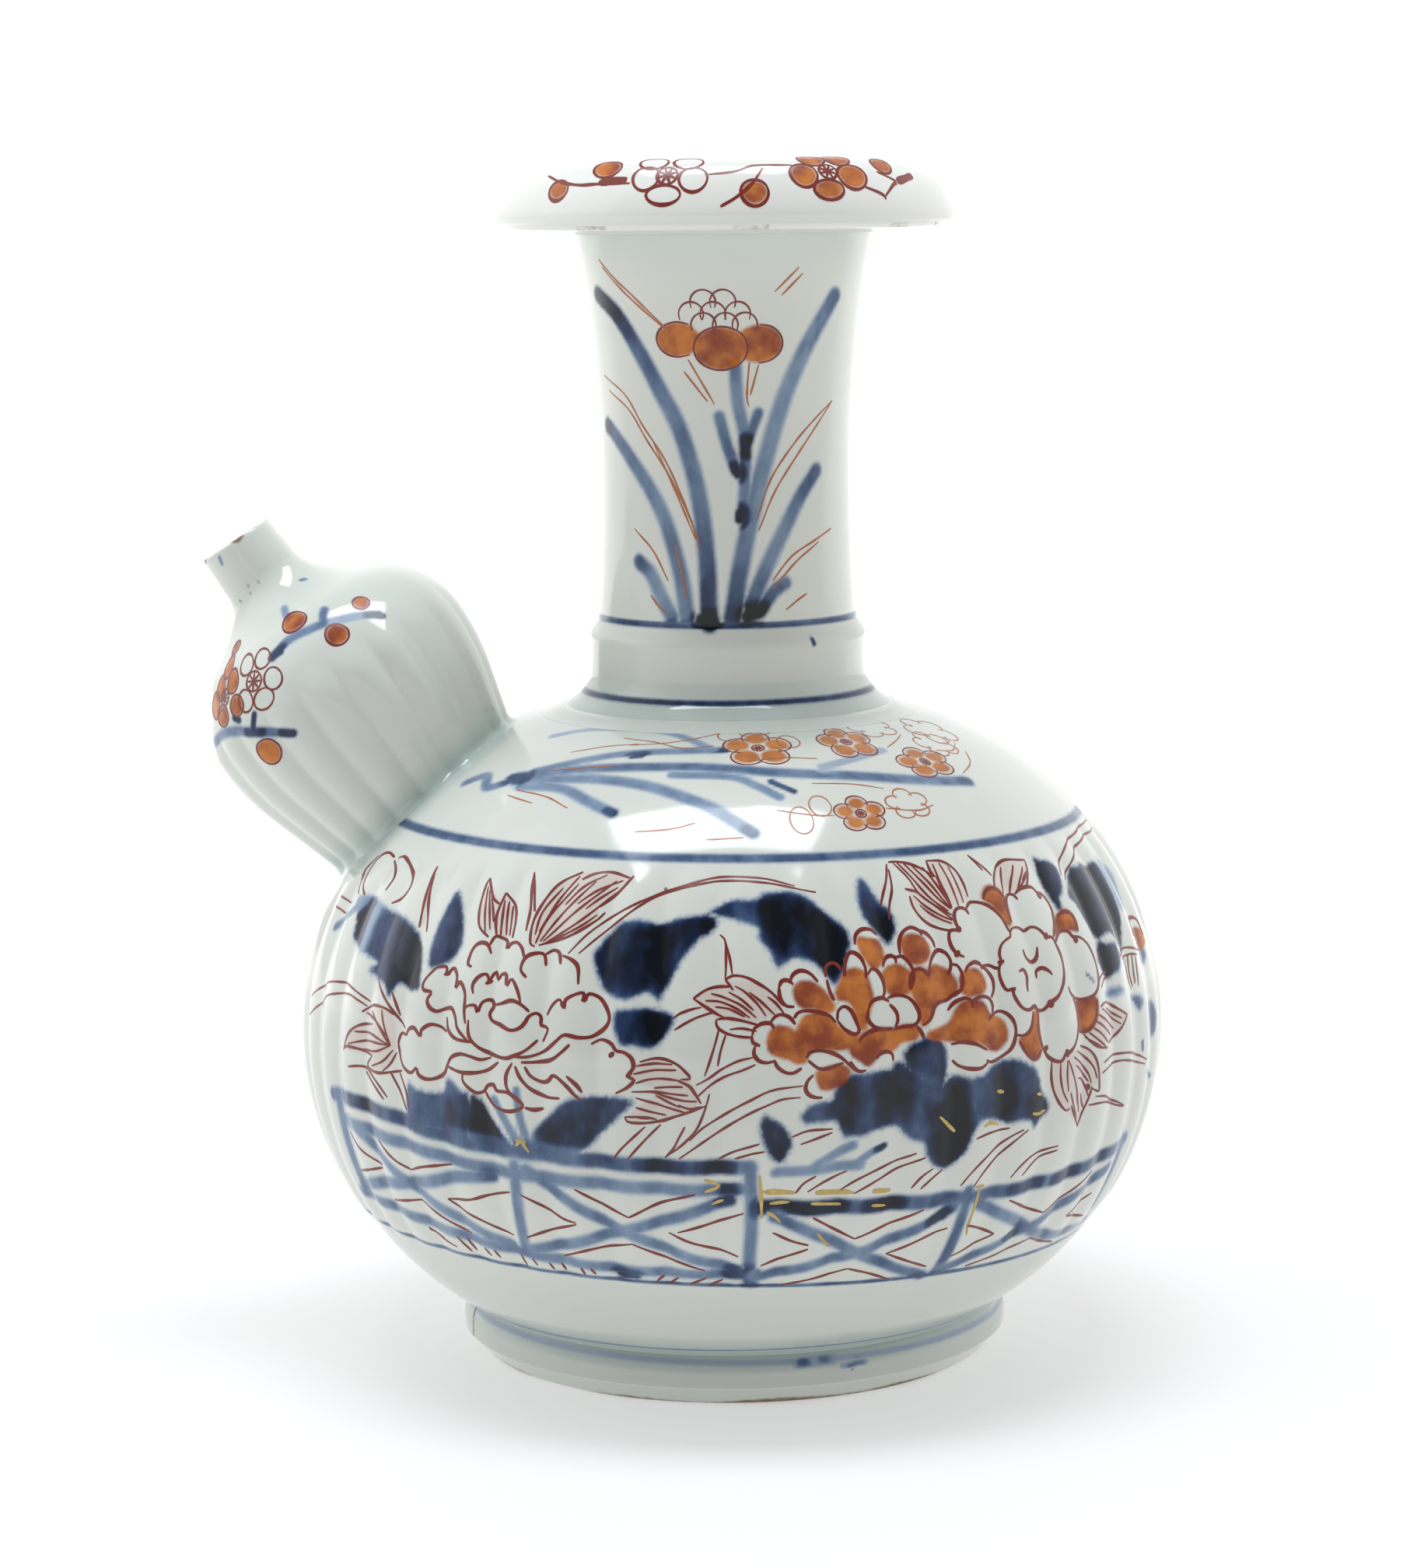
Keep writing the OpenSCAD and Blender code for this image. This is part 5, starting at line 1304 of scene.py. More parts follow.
leaf_edges = [
    (-49.4, 37.3, -49, 33, -47.8, 26), (-49.2, 36, -48, 31, -46, 25.5),
    (-55.9, 9.8, -53.5, 11.4, -50.5, 11.6, -48.5, 10.8), (-59.9, 2.3, -58.5, 5.5, -56, 7.5, -53, 8.3),
    (-59.9, 2.3, -59, 3.2, -56, 3.4, -52.5, 3), (-52.5, 2.9, -54, 1, -51, 0.4, -46.5, 1.6),
    (-58.4, -0.2, -55.5, 0.5, -53.5, 0.2, -51, -1.6, -49.3, -3.5), (-54.5, -0.2, -51.8, -2.2, -50, -4),
    (-48.5, 0.9, -47, -2, -45.8, -5), (-47, 1.2, -45.5, -2, -45.3, -4.5),
    (-53.5, 16, -50.5, 13, -46.2, 8.9), (-49.5, 14.5, -47.5, 10.8),
    (-37.8, 36.6, -38, 35, -37.5, 31, -36.5, 28, -34.5, 26.3),
    (-37.8, 36.6, -36.8, 35, -35.5, 33, -34.3, 32.2), (-33.9, 34.3, -34.2, 30, -33.3, 26.3),
    (-33.9, 34.3, -31.8, 32, -31, 29.5, -30.8, 26.5), (-30.5, 38.5, -30, 36, -29, 32, -28.8, 28),
    (-30.5, 38.5, -29.2, 35, -28.2, 31.5),
    (-27, 25.5, -27.8, 26.2, -28, 30, -27, 34, -25.5, 37, -22.5, 39.2),
    (-22.3, 37.8, -20.5, 39, -18, 39.4, -14.6, 38.3), (-14.5, 38.9, -16.5, 35.5, -18.6, 33),
    (-17.8, 32, -19, 30.4, -22.5, 27.5, -26.5, 25.7),
    (-11.5, 7.5, -10, 8, -8.5, 8, -7, 7.3, -6, 6.2, -5.3, 5, -6.5, 4.8),
    (-7, 4.7, -5.5, 3.8, -4.8, 2.6, -4, 0.8),
    (-3.5, 0.4, -4.8, -0.2, -6, -0.8, -7.5, -1.5, -9, -2.2, -11, -2.6, -13, -2.4, -13.3, -1.5),
    (-12, -1.6, -10, -1.8), (-1, 21, 0, 21.7, 1.5, 21.5, 3, 20.5, 4.8, 18.8, 6.3, 16.5),
    (-5, 18, -3.5, 19.3, -2, 19.8, -0.2, 19.9), (-1, 21, -0.5, 20.2, 0, 19.3),
    (-5, 18, -3.5, 16.6, -2, 15.3, -1, 14.7), (-2.2, 14.4, -1, 14.7, 0.5, 14.5, 2, 14, 3, 13.6),
    (-2.2, 14.4, -2, 13.2, -1, 12.3, 0.5, 11.8, 2.2, 11.6),
    (25.7, 33.8, 25.8, 31.8, 26.6, 29.8, 28, 28.2, 30, 27.2, 31.8, 27),
    (25.3, 35.2, 26.5, 34.7, 27.5, 34.3),
    (24.2, 40.3, 25.4, 40.3, 27.2, 39.8, 28.8, 38.9, 30.1, 37.6, 30.5, 36.8),
    (30.6, 39.9, 31.5, 39.8, 33, 39.6, 34.3, 38.6, 35.2, 37, 35.5, 34.6, 35.4, 32.4),
    (30.6, 39.9, 30.5, 38, 30.8, 36.8),
    (40.4, 33.3, 41.3, 35.2, 42.8, 36.8, 44.3, 37.8, 45.8, 38, 47.8, 37.6, 49.8, 37.2),
    (49.8, 37.2, 48.9, 35.5, 47.8, 34, 46.6, 32.6),
    (54.8, 9.6, 56.4, 10, 57.8, 9.4, 59.5, 8.2, 61.8, 6.6), (61.8, 6.6, 60.3, 5, 58.5, 3.8, 56.3, 3),
    (50.8, 5.7, 52, 4.2, 53.7, 2.9, 55.8, 2.3),
    (43.9, 2.5, 43.8, 0, 44.2, -2.5, 45.2, -4.8, 46.5, -6.4, 47.3, -6.2),
    (47.6, -5.8, 48.3, -7.2, 49.2, -8.6, 50.1, -10.2), (50.1, -10.2, 50.7, -8, 51.6, -5.8, 52.2, -3.6),
    (49.8, 4, 51.5, 3, 52.8, 1.2, 53.4, -1, 53.6, -3.2, 53.6, -4.7, 52.3, -4),
]
fence_frets = [
    (-61, -12.5, -58.5, -15, -54, -17), (-62, -20.3, -58, -19, -54.2, -17.6),
    (-53, -12, -50, -14.8, -47.2, -16.2), (-47.2, -16.2, -44, -14.8, -38.8, -13.3),
    (-30, -16.8, -33.5, -18, -37, -19.6, -41, -20.3),
    (-41, -20.3, -38.5, -22.3, -35.5, -23.5, -31.3, -25.8), (-54.2, -24, -50.5, -23, -47, -22),
    (-47, -22, -43, -24.5, -39, -27), (-28.3, -17, -25.5, -18.8, -23, -20.8, -21, -21.5),
    (-21, -21.8, -25, -23.5, -29, -25.7), (-20.5, -14.9, -17, -17.5, -13.7, -19.7),
    (-13.7, -19.7, -9.5, -16.7, -5, -14.9), (-24.2, -29, -18.5, -26.4, -13.7, -25.1),
    (-13.7, -25.1, -9, -28, -4.2, -30.6), (1, -18.5, -2.5, -20.2, -7.5, -22.4),
    (-8.7, -22.5, -6, -24.3, -2, -26, 0.3, -27.4), (4.8, -22.6, 7, -24.2, 9.6, -25.4),
    (9.6, -26.2, 6.5, -27.8, 3.3, -29.6), (9.9, -19.8, 13, -22.5, 15.8, -24.7),
    (15.8, -24.7, 20, -22.5, 25, -20.2), (29.5, -24.8, 25.5, -26.4, 21, -28.8),
    (21, -28.8, 24.5, -31, 28.3, -33.3), (6.2, -34.5, 11, -33.2, 15.6, -31.3),
    (15.6, -31.3, 19, -33, 22.8, -35.3), (32.5, -24.8, 35.5, -26.3, 38.1, -28),
    (38.1, -28, 35, -29.7, 31.5, -31.5), (38.8, -21.2, 43, -23.8, 47, -25.9),
    (47, -25.9, 51, -23.8, 57, -20.3), (60, -25.8, 57, -27.2, 54.2, -28.8),
    (54.2, -28.8, 58, -30, 61.5, -31.2), (35.7, -35, 41, -33.6, 47, -31.5),
    (47, -31.5, 51, -33.5, 56, -35.4), (-48, -28, -46.5, -29.2, -43, -31), (-48, -28.4, -45, -29.5),
    (-42, -28.3, -40.5, -31.5), (-40.3, -28.5, -39.5, -31), (-37.3, -29.7, -36.6, -31.4),
    (-35.5, -29.8, -35, -31.5), (-31.3, -30, -30.9, -32.5), (-29.3, -30.5, -28.9, -32),
    (-26.8, -31, -26.4, -32.5), (-25, -30.8, -24.6, -32.4), (-22, -31.4, -21.7, -33),
    (-20.5, -31.4, -20, -32.7), (-10, -32, -11.2, -33.5), (-8, -32.4, -9.5, -34), (-4, -32.3, -6.5, -34),
    (-1.8, -32.8, -3.8, -34.2),
]
enamel("body_leaves", leaf_edges + fence_frets, 0.5, body_point, body_steps, iron_red)

hatching = [
    (-48.7, 5.5, -51, 8, -53.5, 10.4), (-48.7, 5.5, -50.3, 9, -51, 11.2),
    (-48.7, 5.5, -53, 6.6, -57, 6.2), (-48.7, 5.5, -54, 5.2, -58.4, 3.8),
    (-48.7, 5.5, -51.5, 4, -55, 3.5), (-48.2, 4.8, -50, 2.6, -52.6, 1.2),
    (-47.6, 4.5, -48.6, 2.4, -50, 0.9), (-49.5, 7, -52, 9, -55, 9.8), (-37.4, 35, -36.4, 31, -35.2, 27),
    (-36.8, 34.4, -35.6, 31, -34.6, 27.6), (-36.1, 33.6, -35, 31, -34.4, 29),
    (-33.7, 33, -33.3, 30, -32.8, 26.6), (-33, 32.8, -32.6, 30, -32, 26.8),
    (-32.2, 32, -31.8, 29.6, -31.4, 26.8), (-27, 26, -25.8, 31, -22.6, 37),
    (-26.4, 26.4, -24, 31.5, -20, 37.6), (-26, 26.4, -22, 32, -17, 37.8),
    (-25.6, 26.2, -21, 30.5, -16.5, 35.8), (-27.3, 27.5, -27, 31.5, -25, 36),
    (-25, 26.4, -21, 29.4, -18.8, 31.6), (-26.8, 28, -25, 34, -22.8, 38.4),
    (-24, 33, -21.6, 36.6, -18.6, 38.9), (-22, 33.4, -19.4, 36, -16, 37.9),
    (-20.6, 32.6, -18.6, 34.8, -16.6, 36.6), (-12, 6.8, -10, 7.2, -7.5, 7.2),
    (-12.3, 5.5, -10, 6.1, -7, 6.3), (-12, 4, -10.5, 4.6, -8.5, 4.8, -6.5, 4.6),
    (-9.8, 3.2, -8, 3.5, -6.2, 3.6), (-12.5, 2.6, -10, 2.6, -7.8, 2.4, -5.6, 2.2),
    (-10, 2.5, -8, 1.8, -6, 1.3, -4.5, 1.2), (-12, 1.6, -10, 0.8, -7.8, 0, -6, -0.6),
    (-9.6, 2, -8, 1, -6.5, 0.2), (-12, 0, -10, -0.8, -8.3, -1.2), (-13.2, -1.6, -11, -1.6, -9.5, -2),
    (-6.8, 0.6, -5.5, 0, -4, 0.3), (0.2, 20, 1.5, 19, 3, 17, 4, 15), (2, 19, 3.5, 17.3, 5.2, 15),
    (4.3, 18.1, 5.3, 17, 6.3, 15.3), (-2.8, 18.7, -1, 18, 1, 16.8, 2.8, 14.8),
    (-3.5, 17.6, -1.5, 17.3, 0.5, 16.2, 2, 14.8), (-2.3, 16.5, -0.5, 16.2, 1.4, 15),
    (-0.6, 19, 1, 17.8, 2.5, 16), (-0.5, 12.9, 1, 13.1, 2.8, 12.6),
    (24.9, 40.1, 26.5, 37, 27.5, 34, 29.8, 31, 31.3, 29), (25.5, 40.2, 27.3, 36.7, 29, 33, 31, 30.5),
    (26.5, 40, 28.5, 36.3, 30, 33, 31.5, 30.8), (27.8, 39.5, 29.5, 36, 30.8, 32.5, 31.7, 30.9),
    (29.5, 38.8, 30.4, 36, 31.2, 33, 31.8, 31), (26.4, 33.8, 27.8, 31.8, 29.5, 30, 31.2, 28.8),
    (27, 32, 28.3, 30.3, 29.8, 29, 31, 28.3), (26, 35, 27.5, 34, 29, 32, 31.5, 29.6),
    (31.4, 39.2, 31.3, 36, 31.6, 33, 31.8, 31), (32.6, 39.3, 32.9, 36, 33, 33, 33, 31),
    (33.9, 38.4, 34.1, 36, 34.2, 33, 34.1, 31.5), (31, 37, 31.2, 34, 31.7, 31.4),
    (41.8, 32, 42.8, 34.5, 43.8, 36.8), (43.2, 31.8, 44.3, 34, 46.2, 36.9), (44.6, 32, 46, 34, 48, 36.2),
    (46.4, 33.8, 47.6, 34.8, 48.9, 35.4), (45, 32.4, 47, 34, 48.5, 35),
    (55.2, 9.2, 57, 7.8, 58.6, 6.4, 60, 5.4), (56.5, 9, 58.5, 7.5, 60.3, 6.3),
    (53.8, 8.6, 56, 7, 58.3, 5), (53.3, 7.5, 55, 6.2, 57, 4.3), (52.7, 6.4, 54.2, 5.2, 56, 3.2),
    (51.8, 5.8, 53.5, 4.2, 55.3, 2.6), (51, 5.2, 52.5, 4, 54, 3),
    (45.3, 2.2, 45.3, -0.5, 45.8, -3, 46.8, -5), (46.6, 2.3, 46.5, -0.5, 46.8, -3.2),
    (46.8, 2.2, 48, -1, 48.9, -3.8, 49.8, -7.5), (47.3, -3.5, 48.2, -6, 49.3, -8.3),
    (48, 2.5, 50, 0.8, 51.4, -1.2, 52, -3), (48.5, 1, 50, -0.5, 51.5, -2.6),
    (48.9, 3.3, 50.8, 1.8, 52.4, -0.3, 53.1, -2.4), (49, -1.4, 50, -1.8, 51, -3.5, 51.6, -5.2),
    (48.8, -3, 49, -5, 49.8, -7), (50, -4.3, 50.4, -6, 51, -7.2), (66.5, 16, 65.8, 13, 66, 10.5),
    (67.6, 16, 67, 13, 66.8, 10.8), (65.5, 15.5, 65, 12.5, 65.6, 10), (68.6, 15.4, 68, 12.6, 67.6, 10.2),
]
grass = [
    (-74, 26.9, -71.5, 26.8, -69, 26.4), (-74, 24.9, -71.5, 24.8, -69.5, 24.4),
    (-74, 8.4, -70, 11, -66.5, 12.7, -62, 13.5, -58.5, 13.2, -54.5, 11.8),
    (-74, 5, -70, 7.9, -66, 10.5, -60, 12, -57, 11.6, -55, 10.9),
    (-22, 24.7, -19, 29, -14, 33.5, -8, 36.8, -2, 38.8, 4, 38.6, 9, 37),
    (-20.5, 24.8, -17.5, 28.5, -12, 34.3, -6, 37.2, 0, 38.2, 6, 37.4, 12, 35.6),
    (-10.9, -3.2, -12.5, -5.2, -14, -7.2, -15, -8.9), (-9, -2.8, -10.5, -4.8, -12, -7, -13.3, -9),
    (-6, -3, -6.8, -5, -7.5, -6.8, -8.6, -8.5),
    (-3, 2.4, -3.6, -0.3, -4.5, -3.2, -5.7, -5.2, -7, -6.8, -8.5, -8.3),
    (8.3, 3.5, 6, 3.1, 4, 2.6, 2, 1.4, 0, 0, -2, -1.7, -4, -3.4, -5.5, -5.4),
    (8, 1.6, 6, 1.3, 4, 0.4, 2, -0.7, 0, -2.2, -2, -4, -4, -5.8, -6.8, -8.5),
    (2.4, 8.4, 0.5, 7.8, -1.5, 6.4, -3, 5, -4.6, 3.9), (2.6, 7.2, 1, 6.3, -1, 5.3, -3, 3.7, -4.6, 1.8),
    (-1.8, 13, -2.3, 10.5, -3, 7.5, -3.6, 5.3), (-1, 12, -1.6, 9.5, -2, 6.9),
    (-1.7, 28.5, -1, 27.5, -0.9, 24, -1, 21), (-1, 27.6, -0.4, 24.5, -0.1, 21.8),
    (-7.5, 14.7, -6.5, 15.6, -5, 16.3, -4, 16.5), (-7.3, 12.8, -6, 13.9, -4.5, 14.9, -2.4, 15.7),
    (23.8, 40, 23, 37.5, 21.8, 34.5, 21, 32.2), (23.8, 39, 23.3, 35.5, 22.3, 32.5, 21.8, 30),
    (38.5, 40, 39.3, 38.8, 40.2, 37.3, 41, 35.6), (38.5, 40, 39.3, 38, 39.7, 36.8),
    (53, -5.5, 55.5, -6.1, 57.5, -7.2, 59.5, -8.2, 61.5, -9.4),
    (51.8, -6.8, 54.5, -7, 57, -7.6, 59.3, -8.7, 61.3, -9.5),
    (54.6, 0, 57, 0.5, 60, 0.3, 63, -0.4, 66, -1.6, 69.2, -3.3),
    (54.2, -1.7, 57, -1, 59.5, -0.9, 62, -1.5, 65, -2.5, 68.5, -3.9), (55.5, 13.8, 57, 14.6, 58.5, 14.8),
    (56, 12.6, 57.3, 13.6, 58.5, 13.9),
    (56, 33, 58, 35.3, 60.5, 37, 63, 38, 66, 38.7, 70, 39.2, 75, 39.6, 82, 39.3),
    (56.6, 32, 59, 33.8, 62, 35.4, 66, 36.9, 70, 37.7, 75, 37.9, 81, 37.6),
    (63.5, 16.5, 66, 17.3, 68.5, 16.8, 71, 15.8, 74, 15.2), (64.2, 15.8, 67, 16, 69.5, 15.4),
    (7.5, -15, 8.5, -13.2, 10, -12), (9, -14.8, 11, -13.2, 14, -11.5),
    (13, -15.2, 15.5, -13, 19, -11, 23, -9.4), (15, -15.7, 18, -13.5, 21, -11.6, 24.3, -10.3),
    (22.7, -15.7, 24, -13.7, 25.5, -12.5), (24, -16, 25.5, -14.3, 27, -13),
    (30, -16.5, 31.5, -14, 34, -11.3, 37, -9, 39, -8.1),
    (32, -17, 33.5, -14.3, 36, -11.5, 38.5, -9.2, 39.8, -8.3),
    (38, -16.7, 39.3, -14.8, 41.2, -13.4, 44, -12.8, 46, -12.6),
    (40, -16.7, 41.5, -15, 43.5, -13.8, 46, -13.4), (31.4, -8.2, 33.5, -7.6, 36.8, -7.4),
    (-2, -8.6, 0, -7.2, 3, -6), (0, -8.5, 2, -7.7, 3.6, -7.4), (7, -5, 9, -4, 12, -4),
    (8, -6.3, 10, -5.4, 12, -4.6),
]
enamel("body_hatching", hatching + grass, 0.4, body_point, body_steps, iron_red)


# Lines on the shoulder: the outlines of the blossoms in iron red, and by the blades faint blossoms
# and thin grass in orange.
def loops(u, v, half_u, half_v, start=90.0):
    """Outlines of five petals round a point, each an arc that bows outward."""
    made = []
    for a in np.radians(start + 72 * np.arange(5)):
        b = a + np.radians(np.linspace(-115, 115, 9))
        across = u + half_u * (0.58 * np.cos(a) + 0.42 * np.cos(b))
        up = v + half_v * (0.58 * np.sin(a) + 0.42 * np.sin(b))
        made.append(np.stack([across, up], -1))
    return made


def wheel(u, v, half_u, half_v):
    """A blossom's centre: a small circle with eight spokes."""
    made = [ring(u, v, half_u, half_v)]
    for a in np.radians(np.arange(20, 380, 45)):
        made.append((u, v, u + 0.95 * half_u * np.cos(a), v + 0.95 * half_v * np.sin(a)))
    return made


thin_orange = line_colour(
    "thin_orange", 500.0, (0.3, 0.07, 0.025, 1), (0.52, 0.2, 0.08, 1), Roughness=0.3, IOR=1.5)
blossom_lines = (
    loops(7, 70, 9, 6.2) + loops(31, 70.4, 7.8, 5.8)
    + loops(45.5, 61.5, 7.4, 4.6) + loops(22.9, 50.7, 4.9, 4.1)
    + wheel(7, 70, 1.6, 1.1) + wheel(31, 70.4, 1.5, 1.1)
    + wheel(45.5, 61.5, 1.2, 1) + wheel(22.9, 50.7, 1, 0.9)
)
faint_blossoms = (
    loops(63, 70, 8, 5.5) + loops(56, 66, 6, 4.5) + loops(45, 74.5, 8, 4) + loops(33, 52, 4.5, 3.6, 20)
)
faint_lines = [
    ring(0, 75, 3.4, 2.2), ring(9, 77.2, 3.6, 2), ring(15.5, 72, 3, 2.4), ring(12, 50, 2, 3),
    ring(16, 53, 2, 2.4),
    (-30, 73, -20, 72, -12, 70, -4, 71), (-26, 70.4, -16, 72, -6, 75, 0, 78),
    (-40, 60.8, -32, 62.5, -25, 63.6), (-44, 55, -36, 54.2, -30, 52), (-45, 53.5, -38, 52.4),
    (-40, 66.5, -32, 69.5, -24, 71), (4, 65.5, 12, 66.4, 20, 65.5), (-6, 49.8, -10, 48.4, -16, 47.6),
    (2, 46.6, -4, 46.2), (16, 58.6, 24, 57.8, 30, 56), (52, 57, 58, 59, 62, 62),
    (40, 67, 46, 69, 50, 70.5), (8, 52.4, 14, 51, 18, 50.6), (28, 51.4, 34, 50.2, 38, 51),
    (53, 64, 58, 63, 63, 64.6),
]
enamel("shoulder_blossoms", blossom_lines, 0.3, body_point, body_steps, iron_red)
enamel("shoulder_grass", faint_blossoms + faint_lines, 0.28, body_point, body_steps, thin_orange)


# Lines on the neck: orange grass between the blades, and in iron red the flower's white scales with
# the outlines of its three orange petals, where they show.
def neck_steps(z):
    """Length in mm of a degree round the neck, and of 1 mm up it."""
    return GRIP_R * np.pi / 180, 1.0


neck_strokes = [
    (-58, 188.5, -48, 185, -40, 182.5, -26, 177.5), (-56, 187.2, -46, 183.6, -38, 181, -24, 176.6),
    (-66, 169, -50, 166, -40, 161, -28, 155, -18, 147, -12, 140.5),
    (-62, 166.5, -48, 163.5, -38, 158.6, -26, 152.4, -16, 145, -12, 140.5),
    (-46, 143.5, -35, 140, -27, 135), (13, 145, 20, 152, 32, 158, 44, 162, 54, 164.5),
    (14, 143.4, 22, 150, 34, 156.2, 46, 161.4, 54, 164.5), (20, 135, 30, 139, 44, 141.5, 54, 143),
    (20, 133.6, 32, 138, 45, 141), (26, 130, 32, 131.5, 37, 132.5), (20, 183, 30, 187),
    (23, 182.4, 32, 186), (-18, 170, -8, 165), (-16, 172, -5, 164.5), (10, 171.5, 9, 166, 10, 164),
    (14, 171, 10.5, 166), (-34, 158, -24, 150.5, -14, 142), (-24, 141.5, -21, 137, -18, 132),
    (-36, 132.5, -31, 130.5, -27, 129.4),
]
enamel("neck_grass", neck_strokes, 0.34, neck_point, neck_steps, thin_orange)
scales = []
for u, v in ((-9, 181.8), (-1, 181.8), (-14, 179.8), (-5, 179.8), (5, 179.8), (-9, 178), (0, 178), (8, 178)):
    a = np.radians(np.linspace(-25, 205, 9))
    scales.append(np.stack([u + 5.2 * np.cos(a), v - 0.4 + 2.1 * np.sin(a)], -1))
enamel("neck_flower", scales, 0.32, neck_point, neck_steps, iron_red)
left_petal, middle_petal, right_petal = neck_orange
petal_edges = [
    left_petal[2:11],
    np.vstack([middle_petal, middle_petal[:2]]),
    np.roll(right_petal, 3, axis=0)[:7],
]
enamel("neck_petals", petal_edges, 0.34, neck_point, neck_steps, iron_red)


# Iron-red lines on the spout: outlined buds, a white blossom and an orange one. They were drawn with
# the same fine brush as those on the body.
def spout_steps(height):
    """Length in mm of a degree round the bulb, and of 1 mm along it on the slant."""
    return 22.0 * np.pi / 180, 1.25


bud_lines = [
    ring(-27.4, 33.3, 5, 1.35), ring(-16.6, 32.7, 5, 1.35), ring(-14.6, 29.1, 4.6, 1.7),
    ring(-22.6, 27.2, 5.4, 1.6), ring(-32.2, 28.6, 4.4, 1.7), ring(-45.5, 34.6, 5.2, 1.25),
    ring(-39, 32.4, 4.8, 1.6), ring(-38.3, 28.8, 4.6, 1.6), ring(-50.6, 28.6, 5, 1.6),
    ring(-51, 32.5, 5, 1.6), ring(7.5, 34.6, 7.6, 1.4), ring(19.2, 28.8, 5, 1.85),
    ring(-32.8, 19.5, 5.4, 2.3), ring(38.3, 30.6, 3.9, 1.15), ring(-44, 36.6, 5.6, 0.65),
    ring(-57, 30.6, 4.8, 1.9),
]
bud_lines = wheel(-24.5, 30.5, 4.6, 1.4) + wheel(-46.6, 31, 3.6, 1.15) + bud_lines
enamel("spout_lines", bud_lines, 0.42, bulb_point, spout_steps, iron_red)


# Iron-red lines on the mouth flange: a prunus branch with buds, a white blossom and an orange one.
# Two short twigs on it are laid on thick. Its strokes are pairs of azimuth and share of the side.
def flange_steps(share):
    """Length in mm of a degree round the flange, and of its whole side."""
    return FLANGE_DEGREE, FLANGE_SIDE


prunus_lines = [
    ring(-20, 0.39, 3.5, 0.17), ring(-7.8, 0.37, 3.6, 0.17), ring(-15, 0.18, 4.3, 0.1),
    ring(-19, 0.68, 4, 0.16), ring(-9.5, 0.68, 4, 0.16), ring(20.5, 0.42, 3.7, 0.18),
    ring(26.5, 0.22, 4.1, 0.11), ring(34.3, 0.39, 4.3, 0.18), ring(24.5, 0.76, 4, 0.2),
    ring(32.5, 0.76, 4, 0.2), ring(-45.5, 0.24, 3.3, 0.115), ring(-32, 0.56, 4.2, 0.17),
    ring(7.3, 0.2, 3.4, 0.14), ring(46.5, 0.58, 3.3, 0.17),
    (-52, 0.43, -46, 0.34, -39, 0.295, -33, 0.305, -24, 0.31), (-1, 0.06, 3, 0.15, 7, 0.3, 10, 0.52),
    (37, 0.24, 42, 0.16, 43, 0.11), (43, 0.14, 47, 0.26, 48.5, 0.3, 43, 0.44),
    (-4, 0.42, 3, 0.47, 8, 0.58, 18, 0.58),
]
prunus_lines = wheel(-14.5, 0.42, 2.7, 0.13) + wheel(27.5, 0.46, 2.5, 0.12) + prunus_lines
twigs = [(-33, 0.32, -29, 0.35, -25, 0.36), (49, 0.3, 53, 0.34, 57, 0.38)]
enamel("flange_lines", prunus_lines, 0.5, flange_point, flange_steps, iron_red)
enamel("flange_twigs", twigs, 1.4, flange_point, flange_steps, iron_red)


# Gold lines, fired last and partly rubbed off: on the fence rail, its posts and the leaves. Three
# wider bands of it are left on the rail.
rubbed_gold = line_colour(
    "rubbed_gold", 700.0, (0.32, 0.22, 0.08, 1), (0.62, 0.46, 0.16, 1), Metallic=0.6, Roughness=0.4)
gold_strokes = [
    (4.3, -16.8, 6.8, -16.6), (9.5, -17, 13.5, -17.6), (17.5, -18.2, 19.5, -18.5),
    (3, -11.5, 3.2, -15, 3.3, -19.5), (33, -17, 33, -20, 32.7, -25, 33, -27), (32.3, -17.2, 33.8, -17.2),
    (-28, -8, -27.2, -7, -26.8, -8, -26.3, -9), (-28, -7, -26.6, -7.2),
    (-3.8, -12.2, -2, -13.4, -3.8, -14.5), (-1.5, -16, -3, -16.8), (40.3, -5.5, 41.5, -5.9, 43, -5.6),
    (41, -2.3, 42, -2.6), (34.5, -0.6, 35.7, -1), (32.5, -6.3, 33.5, -5.8, 35, -6.5),
    (4, -18.4, 5, -19.4, 5.8, -20.6), (10.6, -23, 12.4, -26), (26, -3.5, 28.4, -6.5),
    (3.4, -14.5, 7.4, -14.8), (10, -15, 15, -15.5), (17.4, -15.6, 20, -15.8),
]
rail_strokes = [(3.6, -14.6, 7.4, -14.9), (10, -15, 14.6, -15.4), (17.4, -15.5, 20, -15.7)]
enamel("gold_lines", gold_strokes, 0.6, body_point, body_steps, rubbed_gold)
enamel("gold_bands", rail_strokes, 1.0, body_point, body_steps, rubbed_gold)


# Soft studio: a wide white floor that glows, less near the pot so that a painted shadow lies round it,
# and more away from it and behind it; a large cool light overhead and slightly to the front, a weak
# one on the left, and white surroundings that are dimmer at the top and, above the skyline, on the
# viewer's side.
floor_half = 6
made, tree, out = empty_material("white_floor")
place = tree.nodes.new("ShaderNodeTexCoord")
back = add(tree, "ShaderNodeSeparateXYZ", Vector=place.outputs["Object"]).outputs[1]
away = add(tree, "ShaderNodeVectorMath", _0=place.outputs["Object"])
away.operation = "LENGTH"
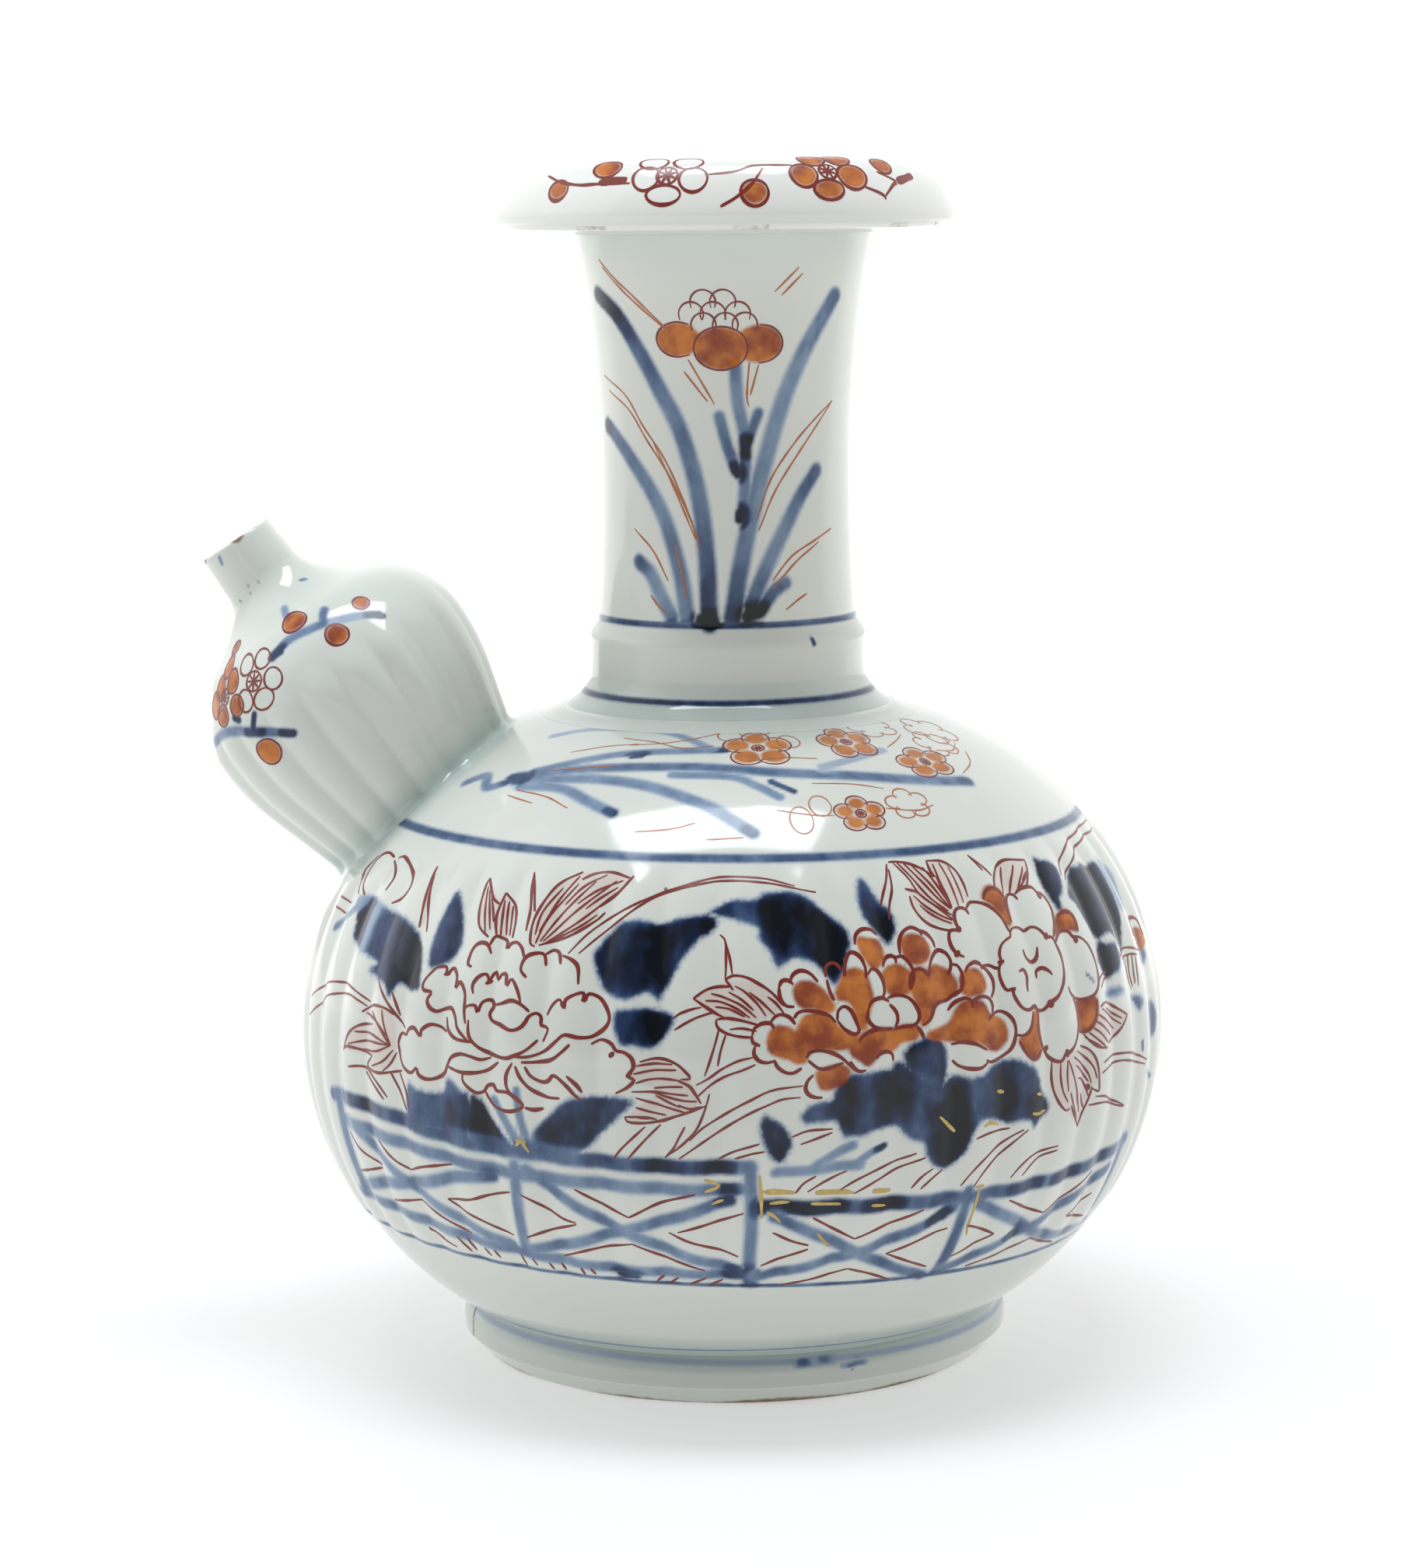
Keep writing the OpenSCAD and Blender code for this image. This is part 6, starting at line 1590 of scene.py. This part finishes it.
# The floor glows as painted light: less near the pot, as a painted shadow round it, and more behind it.
glow = scaled(tree, ramped(tree, back, 0.15, 0.7), 0.9, 0.44)
glow = sums(tree, "ADD", scaled(tree, ramped(tree, away.outputs["Value"], 0.1, 0.32), 0.2), glow)
coat(tree, out, Base_Color=(0.5, 0.5, 0.5, 1), Roughness=0.7, Emission_Color=(1, 1, 1, 1),
     Emission_Strength=glow)
floor_mesh = bpy.data.meshes.new("floor")
floor_corners = [
    (-floor_half, -floor_half, 0), (floor_half, -floor_half, 0), (floor_half, floor_half, 0),
    (-floor_half, floor_half, 0),
]
floor_mesh.from_pydata(floor_corners, [], [(0, 1, 2, 3)])
floor_mesh.materials.append(made)
floor = bpy.data.objects.new("floor", floor_mesh)
bpy.context.scene.collection.objects.link(floor)
floor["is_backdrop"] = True


def soft_light(name, place, size, power, towards):
    """A rectangular light of a given power that faces a point."""
    lamp = bpy.data.lights.new(name, "AREA")
    lamp.shape = "RECTANGLE"
    lamp.size, lamp.size_y = size
    lamp.energy = power
    lamp.color = (0.88, 0.94, 1.0)
    made = bpy.data.objects.new(name, lamp)
    made.location = place
    made.rotation_euler = (made.location - towards).to_track_quat("Z", "Y").to_euler()
    bpy.context.scene.collection.objects.link(made)


soft_light("overhead", (-0.04, -0.06, 0.92), (0.6, 0.28), 5.6, Vector((-0.04, -0.06, 0.0)))
soft_light("left", (-0.55, -0.1, 0.5), (0.5, 0.6), 0.5, Vector((0.0, 0.0, 0.1)))

world = bpy.data.worlds.new("studio")
bpy.context.scene.world = world
world.use_nodes = True
tree = world.node_tree
tree.nodes.clear()
where = tree.nodes.new("ShaderNodeTexCoord")
facing = add(tree, "ShaderNodeSeparateXYZ", Vector=where.outputs["Generated"])
lean = sums(tree, "ADD", facing.outputs[1], scaled(tree, facing.outputs[2], 0.35))
share = add(tree, "ShaderNodeMapRange", Value=lean, From_Min=-1.0, From_Max=1.0)
sky_shade = spread_colours(tree, share.outputs[0], (
    (0.0, (0.07, 0.07, 0.07, 1)),
    (0.25, (0.17, 0.17, 0.17, 1)),
    (0.5, (0.74, 0.74, 0.74, 1)),
    (0.72, (1, 1, 1, 1)),
))
low = sums(tree, "SUBTRACT", 1.0, ramped(tree, facing.outputs[2], 0.02, 0.1))
shade = blended(tree, low, sky_shade, (0.9, 0.9, 0.9, 1))
strength = scaled(tree, ramped(tree, facing.outputs[2], 0.4, 0.95), -0.95, 1.33)
sky = add(tree, "ShaderNodeBackground", Color=shade, Strength=strength)
tree.links.new(sky.outputs[0], tree.nodes.new("ShaderNodeOutputWorld").inputs[0])


# Camera at the photo's angle: a little above the pot, looking slightly down, and rolled as the
# picture is. Lengths are in metres, angles in degrees.
eye_place = (-0.003, -0.7, 0.199)
pitch = 8.2323
roll = -0.6
eye = bpy.data.cameras.new("camera")
eye.lens = 93.53
eye.sensor_width = 36
camera = bpy.data.objects.new("camera", eye)
tilt = Matrix.Rotation(np.radians(90 - pitch), 4, "X") @ Matrix.Rotation(np.radians(roll), 4, "Z")
camera.matrix_world = Matrix.Translation(eye_place) @ tilt
bpy.context.scene.collection.objects.link(camera)
bpy.context.scene.camera = camera
bpy.context.scene.view_settings.view_transform = "Standard"

low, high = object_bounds()
